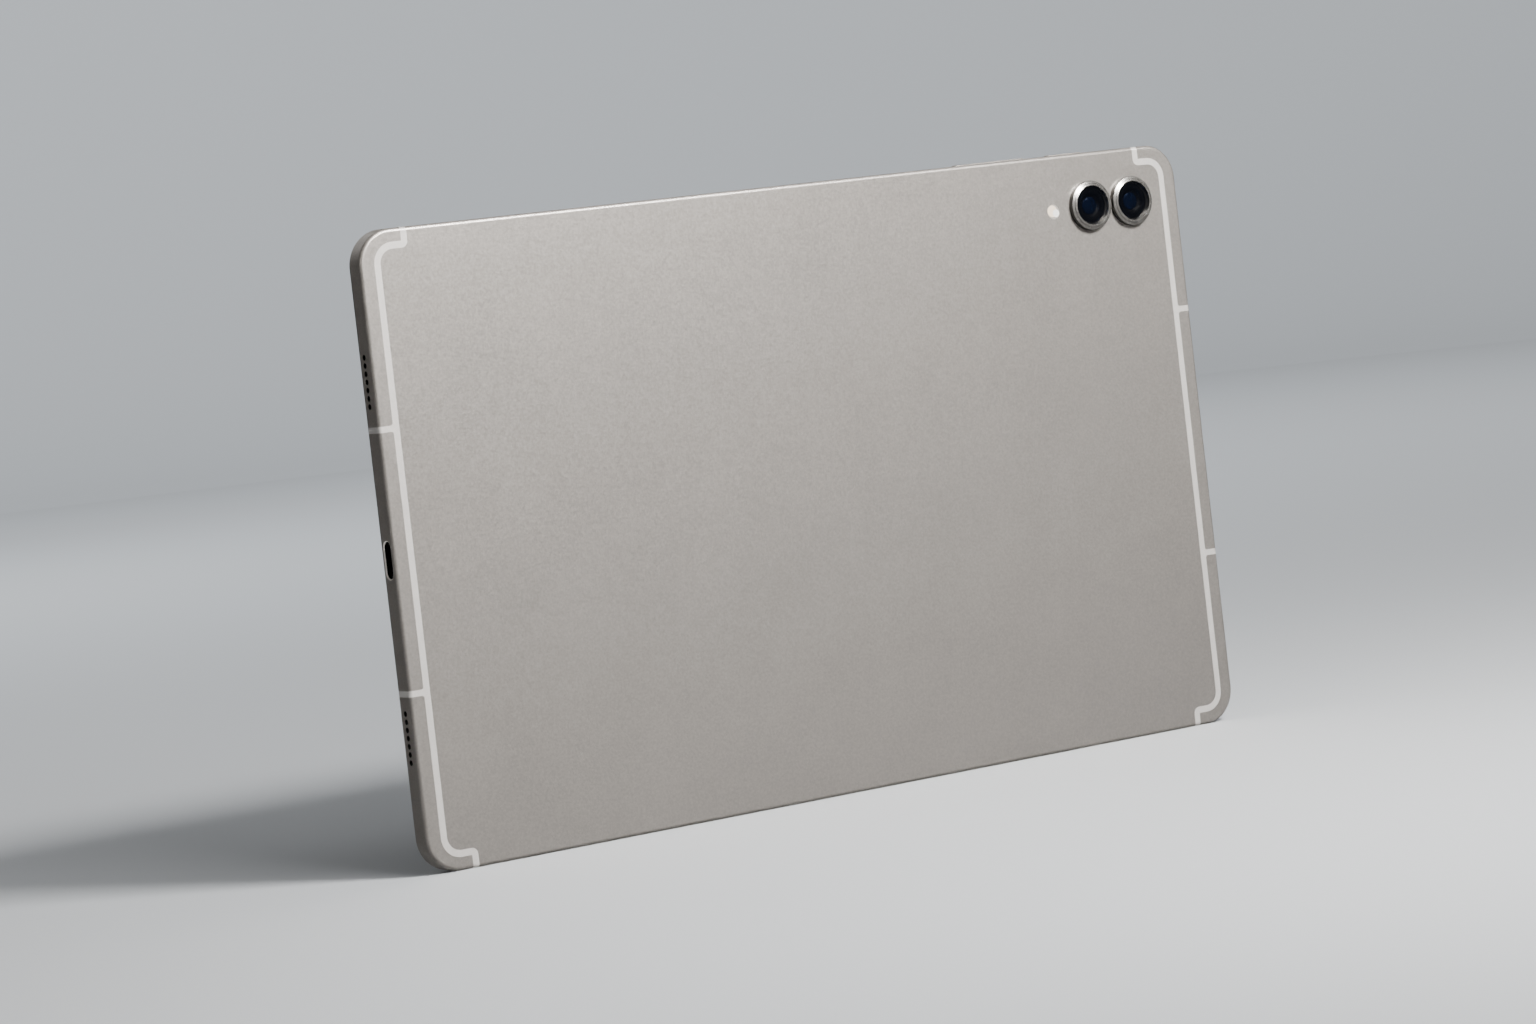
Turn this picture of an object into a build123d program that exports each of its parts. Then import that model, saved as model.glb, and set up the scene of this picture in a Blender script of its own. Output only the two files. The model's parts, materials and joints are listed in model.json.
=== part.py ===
from build123d import *
import os

os.makedirs("parts", exist_ok=True)

# A tablet computer standing on its lower long edge, in millimetres.
# +X is to the right as seen from behind, +Z is up, and -Y points out of the rear cover.
# "Depth" is measured from the rear face towards the screen, so it grows along +Y.

# ---------------------------------------------------------------- driving dimensions
LENGTH = 264.0
HEIGHT = 165.0
THICKNESS = 6.2
CORNER_RADIUS = 9.5
REAR_EDGE_RADIUS = 1.0
FRONT_EDGE_RADIUS = 0.5
RING_RISE = 2.0

# Shell
PLATE = 0.8
WALL = 2.0
RIM_WALL = 1.0
LEDGE_DEPTH = 5.2
RIM_DEPTH = 6.0
FIT_GAP = 0.1

# Insulating bands at the two short ends
BAND_WIDTH = 1.8
BAND_INSET = 5.1
BAND_LEG_INSET = 4.4
BAND_EXIT = 13.6
BAND_CORNER = 4.7
BAND_STEP_RADIUS = 0.95
BRANCH_HEIGHTS = {-1: (46.7, 114.3), 1: (48.2, 117.9)}
BRANCH_WIDTH = 1.6
BRANCH_FILLET = 0.7
BAND_FLANGE_WIDTH = 4.6
BAND_FLANGE_STEP_RADIUS = 2.5
BAND_FLANGE = 0.35

# Display stack, each sheet by the depth of its rear side
GLASS_INSET = 1.15
GLASS = 0.7
GLASS_EDGE_RADIUS = 0.25
SHEET_GAP = 0.1
MASK_INSET = 2.1
ACTIVE_INSET = 7.5
ACTIVE_CORNER = 3.0
PANEL_INSET = 6.0
PANEL = 0.5
DIGITISER = 0.15
SUPPORT_PLATE = 0.1
GLASS_DEPTH = THICKNESS - GLASS
MASK_DEPTH = GLASS_DEPTH - SHEET_GAP
PANEL_DEPTH = MASK_DEPTH - PANEL
DIGITISER_DEPTH = PANEL_DEPTH - DIGITISER
SUPPORT_DEPTH = DIGITISER_DEPTH - SUPPORT_PLATE

# Mid frame and its screws
FRAME_DEPTH = 3.85
FRAME = 0.4
FRAME_INSET = 3.4
BOSS_RADIUS = 1.7
TAPPED_RADIUS = 0.75
SCREW_RADIUS = 0.7
SCREW_LENGTH = 2.3
HEAD_RADIUS = 1.2
HEAD = 0.35
RECESS_LENGTH = 1.3
RECESS_WIDTH = 0.3
RECESS_DEPTH = 0.2
BOSS_SPOTS = [
    *[(x, HEIGHT - 9.0) for x in (-98.0, -48.0, 12.0, 72.0)],
    *[(x, z) for x in (-112.0, 112.0) for z in (58.0, 107.0)],
    *[(x, 5.0) for x in (-112.0, -50.0, 50.0, 112.0)],
]

# Rear cameras and flash
CAMERA_SPACING = 14.5
CAMERA_EDGE = 17.2
CAMERA_DROP = 15.0
RING_RADIUS = 6.95
RING_NECK_RADIUS = 6.25
FLASH_EDGE = 44.3
FLASH_DROP = 0.6
FLASH_RADIUS = 2.15
FLASH_RECESS = 0.02
FLASH_SHOULDER_RADIUS = 2.9
FLASH_SHOULDER = 0.3

# Short sides: port and speakers, centred a little below mid-height
PORT_DROP = 1.5
PORT_LENGTH = 9.6
PORT_WIDTH = 3.4
PORT_DEPTH = 3.0
PORT_CHAMFER = 0.25
SPEAKER_OFFSET = 45.65
SPEAKER_DEPTH = 3.35
GRILLE_HOLES = 7
GRILLE_PITCH = 2.1
GRILLE_RADIUS = 0.65
GRILLE_CHAMFER = 0.12

# Upper edge: keys, microphones and card tray
KEY_DEPTH = 2.75
KEY_WIDTH = 2.2
KEY_RISE = 0.25
KEY_FLANGE = 0.55
KEY_FLANGE_SPREAD = 0.8
POWER_X = 95.0
POWER_LENGTH = 12.0
VOLUME_X = 69.0
VOLUME_LENGTH = 24.0
SWITCH_OFFSET = 7.5
MICROPHONE_SPOTS = (85.0, -60.0)
OPENING_CHAMFER = 0.1
MICROPHONE_RADIUS = 0.45
TRAY_X = 39.0
TRAY_LENGTH = 22.0
TRAY_WIDTH = 2.4
EJECT_X = TRAY_X + 9.1
PIN_HOLE_RADIUS = 0.45

# Keyboard contacts in the lower edge
CONTACT_SLOT = (16.0, 2.6)
CONTACT_SHOULDER = (18.0, 3.4)
CONTACT_SHOULDER_HEIGHT = 1.1
CONTACT_COUNT = 4
CONTACT_PITCH = 3.6
CONTACT_RADIUS = 0.75
CONTACT_LENGTH = 4.0

# Batteries and boards
CELL_WIDTH = 76.0
CELL_BOTTOM = 8.0
CELL_TOP = 142.0
BOARD_DEPTH = 2.2
BOARD = 0.8
FLEX = 0.15

# Derived places
REAR_Y = -(THICKNESS - RING_RISE) / 2
MID_Z = HEIGHT / 2
PORT_Z = MID_Z - PORT_DROP
END_X = LENGTH / 2
CAMERA_Z = HEIGHT - CAMERA_DROP
CAMERA_XS = (END_X - CAMERA_EDGE - CAMERA_SPACING, END_X - CAMERA_EDGE)
FLASH_X = END_X - FLASH_EDGE
FLASH_Z = CAMERA_Z - FLASH_DROP
FRAME_FRONT = FRAME_DEPTH + FRAME
BOARD_FRONT = BOARD_DEPTH + BOARD
INNER_TOP = HEIGHT - WALL
KEY_Y = REAR_Y + KEY_DEPTH
ROCKER_PIVOT_Z = HEIGHT - 2.9


# ---------------------------------------------------------------- helpers
def depth_y(depth):
    """Y of a surface that lies depth mm in from the rear face."""
    return REAR_Y + depth


def depth_plane(depth):
    """Plane parallel to the rear face. Local x is +X, local y is +Z, its normal is -Y."""
    return Plane(origin=(0, depth_y(depth), 0), x_dir=(1, 0, 0), z_dir=(0, -1, 0))


def radial_plane(x, z):
    """Plane through a front-to-back axis. Local x is the radius and local y is the depth."""
    return Plane(origin=(x, REAR_Y, z), x_dir=(1, 0, 0), z_dir=(0, 0, 1))


def front_axis(x, z):
    """Front-to-back axis at one place on the rear face."""
    return Axis((x, REAR_Y, z), (0, 1, 0))


def body_outline(inset, mode=Mode.ADD):
    """The body's rounded outline, inset mm inside its edge, drawn in the open sketch."""
    with Locations((0, MID_Z)):
        RectangleRounded(LENGTH - 2 * inset, HEIGHT - 2 * inset, CORNER_RADIUS - inset, mode=mode)


def sheet(inset, depth, thickness, hole_inset=None):
    """A flat sheet that follows the body's outline, or a ring if it has a hole."""
    with BuildPart() as piece:
        with BuildSketch(depth_plane(depth)):
            body_outline(inset)
            if hole_inset is not None:
                body_outline(hole_inset, mode=Mode.SUBTRACT)
        extrude(amount=-thickness)
    return piece


def block(x_range, z_range, depth_range, corner=0.0):
    """A rectangular block between two X, two Z and two depth limits, with rounded uprights."""
    width = x_range[1] - x_range[0]
    height = z_range[1] - z_range[0]
    centre = ((x_range[0] + x_range[1]) / 2, (z_range[0] + z_range[1]) / 2)
    with BuildPart() as piece:
        with BuildSketch(depth_plane(depth_range[0])):
            with Locations(centre):
                if corner > 0:
                    RectangleRounded(width, height, corner)
                else:
                    Rectangle(width, height)
        extrude(amount=-(depth_range[1] - depth_range[0]))
    return piece.part


def ribbon(points, width, depth, thickness, bend):
    """A flat cable lying parallel to the rear face along a route of X, Z points."""
    with BuildPart() as piece:
        with BuildSketch(depth_plane(depth)):
            with BuildLine():
                FilletPolyline(*points, radius=bend)
            trace(line_width=width)
        extrude(amount=-thickness)
    return piece.part


def rim_edges(piece, axis, level):
    """Edges of every opening in the flat side wall that stands square to an axis at one level."""
    flat_faces = piece.faces().filter_by(axis).filter_by_position(axis, level - 0.01, level + 0.01)
    wall = flat_faces.sort_by(SortBy.AREA)[-1]
    return [edge for wire in wall.inner_wires() for edge in wire.edges()]


def band_prism(side, width, branch_width, step_radius, depth, thickness, branch_fillet=0.0):
    """The insulating band's route at one end, with its two branches, as a prism."""
    line_x = side * (END_X - BAND_INSET)
    exit_x = side * (END_X - BAND_EXIT)
    overrun = 1.0
    route = [
        (exit_x, HEIGHT + overrun),
        (exit_x, HEIGHT - BAND_LEG_INSET),
        (line_x, HEIGHT - BAND_LEG_INSET),
        (line_x, BAND_LEG_INSET),
        (exit_x, BAND_LEG_INSET),
        (exit_x, -overrun),
    ]
    branch_length = BAND_INSET + overrun
    branch_x = side * (END_X + overrun - branch_length / 2)
    joint_x = END_X - BAND_INSET + width / 2
    with BuildPart() as prism:
        with BuildSketch(depth_plane(depth)) as outline:
            with BuildLine():
                FilletPolyline(*route, radius=[step_radius, BAND_CORNER, BAND_CORNER, step_radius])
            trace(line_width=width)
            with Locations(*[(branch_x, height) for height in BRANCH_HEIGHTS[side]]):
                Rectangle(branch_length, branch_width)
            if branch_fillet > 0:
                corners = [
                    v
                    for v in outline.vertices()
                    if abs(abs(v.X) - joint_x) < 0.01
                    and min(abs(v.Y - height) for height in BRANCH_HEIGHTS[side]) < width
                ]
                fillet(corners, branch_fillet)
        extrude(amount=-thickness)
    return prism.part


# ---------------------------------------------------------------- aluminium shell, before it is split
with BuildPart() as shell_blank:
    with BuildSketch(depth_plane(0)):
        body_outline(0)
    extrude(amount=-RIM_DEPTH)
    fillet(shell_blank.faces().sort_by(Axis.Y)[0].edges(), REAR_EDGE_RADIUS)
    fillet(shell_blank.faces().sort_by(Axis.Y)[-1].edges(), FRONT_EDGE_RADIUS)
    # Bay for the batteries and boards
    with BuildSketch(depth_plane(PLATE)):
        body_outline(WALL)
    extrude(amount=-RIM_DEPTH, mode=Mode.SUBTRACT)
    # Wider recess that leaves a ledge for the cover glass
    with BuildSketch(depth_plane(LEDGE_DEPTH)):
        body_outline(RIM_WALL)
    extrude(amount=-RIM_DEPTH, mode=Mode.SUBTRACT)
    # Camera and flash holes through the plate
    with BuildSketch(depth_plane(PLATE + 1)):
        with Locations(*[(x, CAMERA_Z) for x in CAMERA_XS]):
            Circle(RING_NECK_RADIUS + FIT_GAP / 2)
        with Locations((FLASH_X, FLASH_Z)):
            Circle(FLASH_RADIUS + FIT_GAP / 2)
    extrude(amount=PLATE + 2, mode=Mode.SUBTRACT)
    # Key, tray and microphone openings through the upper wall
    with BuildSketch(Plane.XY.offset(INNER_TOP - 1)):
        with Locations((POWER_X, KEY_Y)):
            SlotOverall(POWER_LENGTH + 2 * FIT_GAP, KEY_WIDTH + 2 * FIT_GAP)
        with Locations((VOLUME_X, KEY_Y)):
            SlotOverall(VOLUME_LENGTH + 2 * FIT_GAP, KEY_WIDTH + 2 * FIT_GAP)
        with Locations((TRAY_X, KEY_Y)):
            SlotOverall(TRAY_LENGTH + 2 * FIT_GAP, TRAY_WIDTH + 2 * FIT_GAP)
    extrude(amount=WALL + 2, mode=Mode.SUBTRACT)
    chamfer(rim_edges(shell_blank, Axis.Z, HEIGHT), OPENING_CHAMFER)
    with BuildSketch(Plane.XY.offset(INNER_TOP - 1)):
        with Locations(*[(x, KEY_Y) for x in MICROPHONE_SPOTS]):
            Circle(MICROPHONE_RADIUS)
    extrude(amount=WALL + 2, mode=Mode.SUBTRACT)
    # Keyboard contact opening through the lower wall
    with BuildSketch(Plane.XY.offset(-1)):
        with Locations((0, KEY_Y)):
            SlotOverall(CONTACT_SLOT[0] + FIT_GAP, CONTACT_SLOT[1] + FIT_GAP)
    extrude(amount=WALL + 2, mode=Mode.SUBTRACT)
    # Port in the left wall, and a row of speaker holes above and below mid-height in both walls
    with BuildSketch(Plane.YZ.offset(-END_X - 1)):
        with Locations((depth_y(PORT_DEPTH), PORT_Z)):
            SlotOverall(PORT_LENGTH, PORT_WIDTH, rotation=90)
    extrude(amount=WALL + 2, mode=Mode.SUBTRACT)
    chamfer(rim_edges(shell_blank, Axis.X, -END_X), PORT_CHAMFER)
    for wall_x in (-END_X - 1, END_X - WALL - 1):
        with BuildSketch(Plane.YZ.offset(wall_x)):
            with Locations(*[(depth_y(SPEAKER_DEPTH), PORT_Z + up * SPEAKER_OFFSET) for up in (-1, 1)]):
                with GridLocations(1.0, GRILLE_PITCH, 1, GRILLE_HOLES):
                    Circle(GRILLE_RADIUS)
        extrude(amount=WALL + 2, mode=Mode.SUBTRACT)
    grille_rims = [
        edge
        for edge in shell_blank.edges().filter_by(GeomType.CIRCLE)
        if abs(abs(edge.center().X) - END_X) < 0.01 and abs(edge.radius - GRILLE_RADIUS) < 0.01
    ]
    chamfer(grille_rims, GRILLE_CHAMFER)

# The bands cut the shell into the main cover and three antenna segments at each end
with BuildPart() as split_shell:
    add(shell_blank.part)
    for side in (-1, 1):
        add(
            band_prism(side, BAND_WIDTH, BRANCH_WIDTH, BAND_STEP_RADIUS, -1, THICKNESS + 2, BRANCH_FILLET),
            mode=Mode.SUBTRACT,
        )
metal_pieces = split_shell.solids().sort_by(SortBy.VOLUME)

# ---------------------------------------------------------------- rear cover with its screw bosses
with BuildPart() as rear_cover:
    add(metal_pieces[-1])
    with BuildSketch(depth_plane(PLATE)):
        with Locations(*BOSS_SPOTS):
            Circle(BOSS_RADIUS)
    extrude(amount=-(FRAME_DEPTH - PLATE))
    with BuildSketch(depth_plane(FRAME_DEPTH)):
        with Locations(*BOSS_SPOTS):
            Circle(TAPPED_RADIUS)
    extrude(amount=SCREW_LENGTH - FRAME + 0.2, mode=Mode.SUBTRACT)
rear_cover.part.label = "rear_cover"
export_step(rear_cover.part, "parts/rear_cover.step")

# ---------------------------------------------------------------- antenna segments
segments_by_x = metal_pieces[:-1].sort_by(Axis.X)
for end, pieces in (("left", segments_by_x[:3]), ("right", segments_by_x[3:])):
    for level, solid in zip(("lower", "middle", "upper"), pieces.sort_by(Axis.Z)):
        with BuildPart() as antenna_segment:
            add(solid)
        antenna_segment.part.label = f"antenna_segment_{end}_{level}"
        export_step(antenna_segment.part, f"parts/antenna_segment_{end}_{level}.step")

# ---------------------------------------------------------------- insulating bands
for end, side in (("left", -1), ("right", 1)):
    with BuildPart() as bond_flange:
        add(
            band_prism(
                side, BAND_FLANGE_WIDTH, BAND_FLANGE_WIDTH, BAND_FLANGE_STEP_RADIUS, PLATE, BAND_FLANGE
            )
        )
        with BuildSketch(depth_plane(PLATE)):
            body_outline(WALL + FIT_GAP)
        extrude(amount=-BAND_FLANGE, mode=Mode.INTERSECT)
    with BuildPart() as antenna_band:
        add(shell_blank.part)
        add(
            band_prism(side, BAND_WIDTH, BRANCH_WIDTH, BAND_STEP_RADIUS, -1, THICKNESS + 2, BRANCH_FILLET),
            mode=Mode.INTERSECT,
        )
        add(bond_flange.part)
    antenna_band.part.label = f"antenna_band_{end}"
    export_step(antenna_band.part, f"parts/antenna_band_{end}.step")

# ---------------------------------------------------------------- display stack
with BuildPart() as cover_glass:
    with BuildSketch(depth_plane(GLASS_DEPTH)):
        body_outline(GLASS_INSET)
    extrude(amount=-GLASS)
    fillet(cover_glass.faces().sort_by(Axis.Y)[-1].edges(), GLASS_EDGE_RADIUS)
cover_glass.part.label = "cover_glass"
export_step(cover_glass.part, "parts/cover_glass.step")

display_gasket = sheet(RIM_WALL + FIT_GAP, LEDGE_DEPTH, GLASS_DEPTH - LEDGE_DEPTH, WALL - 0.05)
display_gasket.part.label = "display_gasket"
export_step(display_gasket.part, "parts/display_gasket.step")

FRONT_CAMERA_Z = HEIGHT - 4.05
FRONT_CAMERA_BARREL = 1.2
FRONT_CAMERA_WINDOW = 1.4
with BuildPart() as bezel_mask:
    with BuildSketch(depth_plane(MASK_DEPTH)):
        body_outline(MASK_INSET)
        with Locations((0, MID_Z)):
            RectangleRounded(
                LENGTH - 2 * ACTIVE_INSET, HEIGHT - 2 * ACTIVE_INSET, ACTIVE_CORNER, mode=Mode.SUBTRACT
            )
        with Locations((0, FRONT_CAMERA_Z)):
            Circle(FRONT_CAMERA_WINDOW, mode=Mode.SUBTRACT)
    extrude(amount=-SHEET_GAP)
bezel_mask.part.label = "bezel_mask"
export_step(bezel_mask.part, "parts/bezel_mask.step")

with BuildPart() as optical_adhesive:
    with BuildSketch(depth_plane(MASK_DEPTH)):
        with Locations((0, MID_Z)):
            RectangleRounded(
                LENGTH - 2 * ACTIVE_INSET - FIT_GAP,
                HEIGHT - 2 * ACTIVE_INSET - FIT_GAP,
                ACTIVE_CORNER - FIT_GAP / 2,
            )
    extrude(amount=-SHEET_GAP)
optical_adhesive.part.label = "optical_adhesive"
export_step(optical_adhesive.part, "parts/optical_adhesive.step")

display_panel = sheet(PANEL_INSET, PANEL_DEPTH, PANEL)
display_panel.part.label = "display_panel"
export_step(display_panel.part, "parts/display_panel.step")

stylus_digitiser = sheet(PANEL_INSET + 0.5, DIGITISER_DEPTH, DIGITISER)
stylus_digitiser.part.label = "stylus_digitiser"
export_step(stylus_digitiser.part, "parts/stylus_digitiser.step")

display_support_plate = sheet(PANEL_INSET + 0.5, SUPPORT_DEPTH, SUPPORT_PLATE)
display_support_plate.part.label = "display_support_plate"
export_step(display_support_plate.part, "parts/display_support_plate.step")

# The display's flat cable drops through the mid frame's slot to the main board
CABLE_SLOT_X = (61.5, 69.0)
CABLE_Z = (99.0, 111.0)
CABLE_SLOT_SIZE = (7.5, 15.0)
CABLE = 0.12
CABLE_REAR_DEPTH = BOARD_FRONT + 0.35
CABLE_FRONT_DEPTH = SUPPORT_DEPTH - 0.07
with BuildPart() as display_cable:
    with BuildSketch(Plane.XY.offset(CABLE_Z[0])):
        with BuildLine():
            FilletPolyline(
                (46.0, depth_y(CABLE_FRONT_DEPTH)),
                (63.0, depth_y(CABLE_FRONT_DEPTH)),
                (67.0, depth_y(CABLE_REAR_DEPTH)),
                (76.0, depth_y(CABLE_REAR_DEPTH)),
                radius=0.5,
            )
        trace(line_width=CABLE)
    extrude(amount=CABLE_Z[1] - CABLE_Z[0])
    add(block((73.5, 78.5), CABLE_Z, (BOARD_FRONT, BOARD_FRONT + 0.45)))
display_cable.part.label = "display_cable"
export_step(display_cable.part, "parts/display_cable.step")

# ---------------------------------------------------------------- mid frame and screws
CELL_XS = (-60.0, 19.0)
WINDOW_MARGIN_X = 8.0
WINDOW_MARGIN_Z = 12.0
WINDOW_CORNER = 6.0
PORT_NOTCH = (8.5, 10.2)
CAMERA_NOTCH = (6.4, 6.2)
with BuildPart() as mid_frame:
    with BuildSketch(depth_plane(FRAME_DEPTH)):
        body_outline(FRAME_INSET)
        # Windows over the two battery cells
        with Locations(*[(x, (CELL_BOTTOM + CELL_TOP) / 2) for x in CELL_XS]):
            RectangleRounded(
                CELL_WIDTH - 2 * WINDOW_MARGIN_X,
                CELL_TOP - CELL_BOTTOM - 2 * WINDOW_MARGIN_Z,
                WINDOW_CORNER,
                mode=Mode.SUBTRACT,
            )
        # Slot for the display cable, and notches for the port and the front camera
        with Locations((sum(CABLE_SLOT_X) / 2, sum(CABLE_Z) / 2)):
            RectangleRounded(*CABLE_SLOT_SIZE, 1.0, mode=Mode.SUBTRACT)
        with Locations((-END_X, PORT_Z)):
            Rectangle(2 * PORT_NOTCH[0], PORT_NOTCH[1], mode=Mode.SUBTRACT)
        with Locations((0, HEIGHT)):
            Rectangle(CAMERA_NOTCH[0], 2 * CAMERA_NOTCH[1], mode=Mode.SUBTRACT)
        with Locations(*BOSS_SPOTS):
            Circle(SCREW_RADIUS + FIT_GAP, mode=Mode.SUBTRACT)
    extrude(amount=-FRAME)
mid_frame.part.label = "mid_frame"
export_step(mid_frame.part, "parts/mid_frame.step")

with BuildPart() as frame_screws:
    with BuildSketch(depth_plane(FRAME_FRONT)):
        with Locations(*BOSS_SPOTS):
            Circle(HEAD_RADIUS)
    extrude(amount=-HEAD)
    with BuildSketch(depth_plane(FRAME_FRONT)):
        with Locations(*BOSS_SPOTS):
            Circle(SCREW_RADIUS)
    extrude(amount=SCREW_LENGTH)
    # Cross recess in each head
    with BuildSketch(depth_plane(FRAME_FRONT + HEAD - RECESS_DEPTH)):
        with Locations(*BOSS_SPOTS):
            Rectangle(RECESS_LENGTH, RECESS_WIDTH)
            Rectangle(RECESS_WIDTH, RECESS_LENGTH)
    extrude(amount=-0.3, mode=Mode.SUBTRACT)
frame_screws.part.label = "frame_screws"
export_step(frame_screws.part, "parts/frame_screws.step")

# ---------------------------------------------------------------- batteries
CELL_REAR = 0.95
CELL_FRONT = 3.75
for end, cell_x in zip(("left", "right"), CELL_XS):
    with BuildPart() as battery_cell:
        add(
            block(
                (cell_x - CELL_WIDTH / 2, cell_x + CELL_WIDTH / 2),
                (CELL_BOTTOM, CELL_TOP),
                (CELL_REAR, CELL_FRONT),
                corner=1.5,
            )
        )
        fillet(battery_cell.faces().sort_by(Axis.Y)[0].edges(), 0.5)
        fillet(battery_cell.faces().sort_by(Axis.Y)[-1].edges(), 0.5)
    battery_cell.part.label = f"battery_cell_{end}"
    export_step(battery_cell.part, f"parts/battery_cell_{end}.step")

PROTECTION_Z = (CELL_TOP + 0.3, CELL_TOP + 4.2)
with BuildPart() as battery_protection_board:
    add(block((-92.0, 48.0), PROTECTION_Z, (BOARD_DEPTH, BOARD_FRONT), corner=0.6))
    # Protection circuit parts on its rear side
    with BuildSketch(depth_plane(BOARD_DEPTH)):
        with Locations((-22.0, sum(PROTECTION_Z) / 2)):
            with GridLocations(11.0, 1.0, 6, 1):
                Rectangle(4.0, 2.6)
    extrude(amount=0.7)
battery_protection_board.part.label = "battery_protection_board"
export_step(battery_protection_board.part, "parts/battery_protection_board.step")

with BuildPart() as battery_cable:
    add(ribbon([(40.0, 144.2), (69.0, 144.2), (69.0, 139.5)], 3.2, BOARD_FRONT, FLEX, 2.0))
    add(block((66.5, 71.5), (138.5, 141.8), (BOARD_FRONT, BOARD_FRONT + 0.6), corner=0.3))
battery_cable.part.label = "battery_cable"
export_step(battery_cable.part, "parts/battery_cable.step")

# ---------------------------------------------------------------- main board
BOARD_X = (60.0, 104.5)
BOARD_Z = (58.0, 143.0)
with BuildPart() as main_board:
    add(block(BOARD_X, BOARD_Z, (BOARD_DEPTH, BOARD_FRONT), corner=1.5))
    # Coils and capacitors on the screen side, in rows
    with BuildSketch(depth_plane(BOARD_FRONT)):
        with Locations((82.0, 72.0)):
            with GridLocations(5.0, 5.5, 7, 4):
                Rectangle(2.6, 2.2)
        with Locations((90.0, 122.0)):
            with GridLocations(3.4, 3.2, 6, 3):
                Rectangle(1.6, 0.9)
    extrude(amount=-0.5)
main_board.part.label = "main_board"
export_step(main_board.part, "parts/main_board.step")

# Sheet-metal cans over the two chip areas, open towards the board
CAN_REAR = 0.95
CAN_WALL = 0.2
CAN_X = (64.0, 100.0)
CAN_AREAS = {"processor": (96.0, 130.0), "radio": (62.0, 92.0)}
for area, can_z in CAN_AREAS.items():
    with BuildPart() as shield_can:
        add(block(CAN_X, can_z, (CAN_REAR, BOARD_DEPTH), corner=0.8))
        add(
            block(
                (CAN_X[0] + CAN_WALL, CAN_X[1] - CAN_WALL),
                (can_z[0] + CAN_WALL, can_z[1] - CAN_WALL),
                (CAN_REAR + CAN_WALL, BOARD_DEPTH),
                corner=0.6,
            ),
            mode=Mode.SUBTRACT,
        )
    shield_can.part.label = f"{area}_shield_can"
    export_step(shield_can.part, f"parts/{area}_shield_can.step")

CHIP_REAR = 1.3
with BuildPart() as processor_package:
    add(block((66.5, 81.5), (105.5, 120.5), (CHIP_REAR, BOARD_DEPTH), corner=0.3))
processor_package.part.label = "processor_package"
export_step(processor_package.part, "parts/processor_package.step")

with BuildPart() as storage_package:
    add(block((86.0, 97.5), (106.5, 119.5), (CHIP_REAR, BOARD_DEPTH), corner=0.3))
storage_package.part.label = "storage_package"
export_step(storage_package.part, "parts/storage_package.step")

with BuildPart() as graphite_sheet:
    add(block((62.0, 102.0), (60.0, 132.0), (PLATE, PLATE + 0.1), corner=2.0))
graphite_sheet.part.label = "graphite_sheet"
export_step(graphite_sheet.part, "parts/graphite_sheet.step")

# ---------------------------------------------------------------- port board and receptacle
PORT_BOARD_DEPTH = 2.6
PORT_BOARD = 0.7
with BuildPart() as port_board:
    port_board_front = PORT_BOARD_DEPTH + PORT_BOARD
    add(block((-128.4, -107.0), (64.0, 101.0), (PORT_BOARD_DEPTH, port_board_front), corner=1.0))
    # Notch that the receptacle sits in
    notch_z = (PORT_Z - 4.8, PORT_Z + 4.8)
    notch = block((-129.0, -123.7), notch_z, (PORT_BOARD_DEPTH - 1, port_board_front + 1))
    add(notch, mode=Mode.SUBTRACT)
port_board.part.label = "port_board"
export_step(port_board.part, "parts/port_board.step")

RECEPTACLE_X = (-131.2, -123.9)
SHELL_LENGTH = 8.94
SHELL_WIDTH = 3.16
SHELL_WALL = 0.3
TONGUE = (0.7, 6.69)
TONGUE_LENGTH = 5.6
with BuildPart() as usb_receptacle_shell:
    with BuildSketch(Plane.YZ.offset(RECEPTACLE_X[0])):
        with Locations((depth_y(PORT_DEPTH), PORT_Z)):
            SlotOverall(SHELL_LENGTH, SHELL_WIDTH, rotation=90)
    extrude(amount=RECEPTACLE_X[1] - RECEPTACLE_X[0])
    with BuildSketch(Plane.YZ.offset(RECEPTACLE_X[0])):
        with Locations((depth_y(PORT_DEPTH), PORT_Z)):
            SlotOverall(SHELL_LENGTH - 2 * SHELL_WALL, SHELL_WIDTH - 2 * SHELL_WALL, rotation=90)
    extrude(amount=RECEPTACLE_X[1] - RECEPTACLE_X[0] - SHELL_WALL, mode=Mode.SUBTRACT)
usb_receptacle_shell.part.label = "usb_receptacle_shell"
export_step(usb_receptacle_shell.part, "parts/usb_receptacle_shell.step")

with BuildPart() as usb_receptacle_tongue:
    with BuildSketch(Plane.YZ.offset(RECEPTACLE_X[0] + 0.6)):
        with Locations((depth_y(PORT_DEPTH), PORT_Z)):
            Rectangle(*TONGUE)
    extrude(amount=TONGUE_LENGTH)
    # Base that closes the back of the receptacle
    with BuildSketch(Plane.YZ.offset(RECEPTACLE_X[1] - SHELL_WALL - 1.6)):
        with Locations((depth_y(PORT_DEPTH), PORT_Z)):
            SlotOverall(SHELL_LENGTH - 2 * SHELL_WALL - 0.1, SHELL_WIDTH - 2 * SHELL_WALL - 0.1, rotation=90)
    extrude(amount=1.55)
usb_receptacle_tongue.part.label = "usb_receptacle_tongue"
export_step(usb_receptacle_tongue.part, "parts/usb_receptacle_tongue.step")

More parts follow.
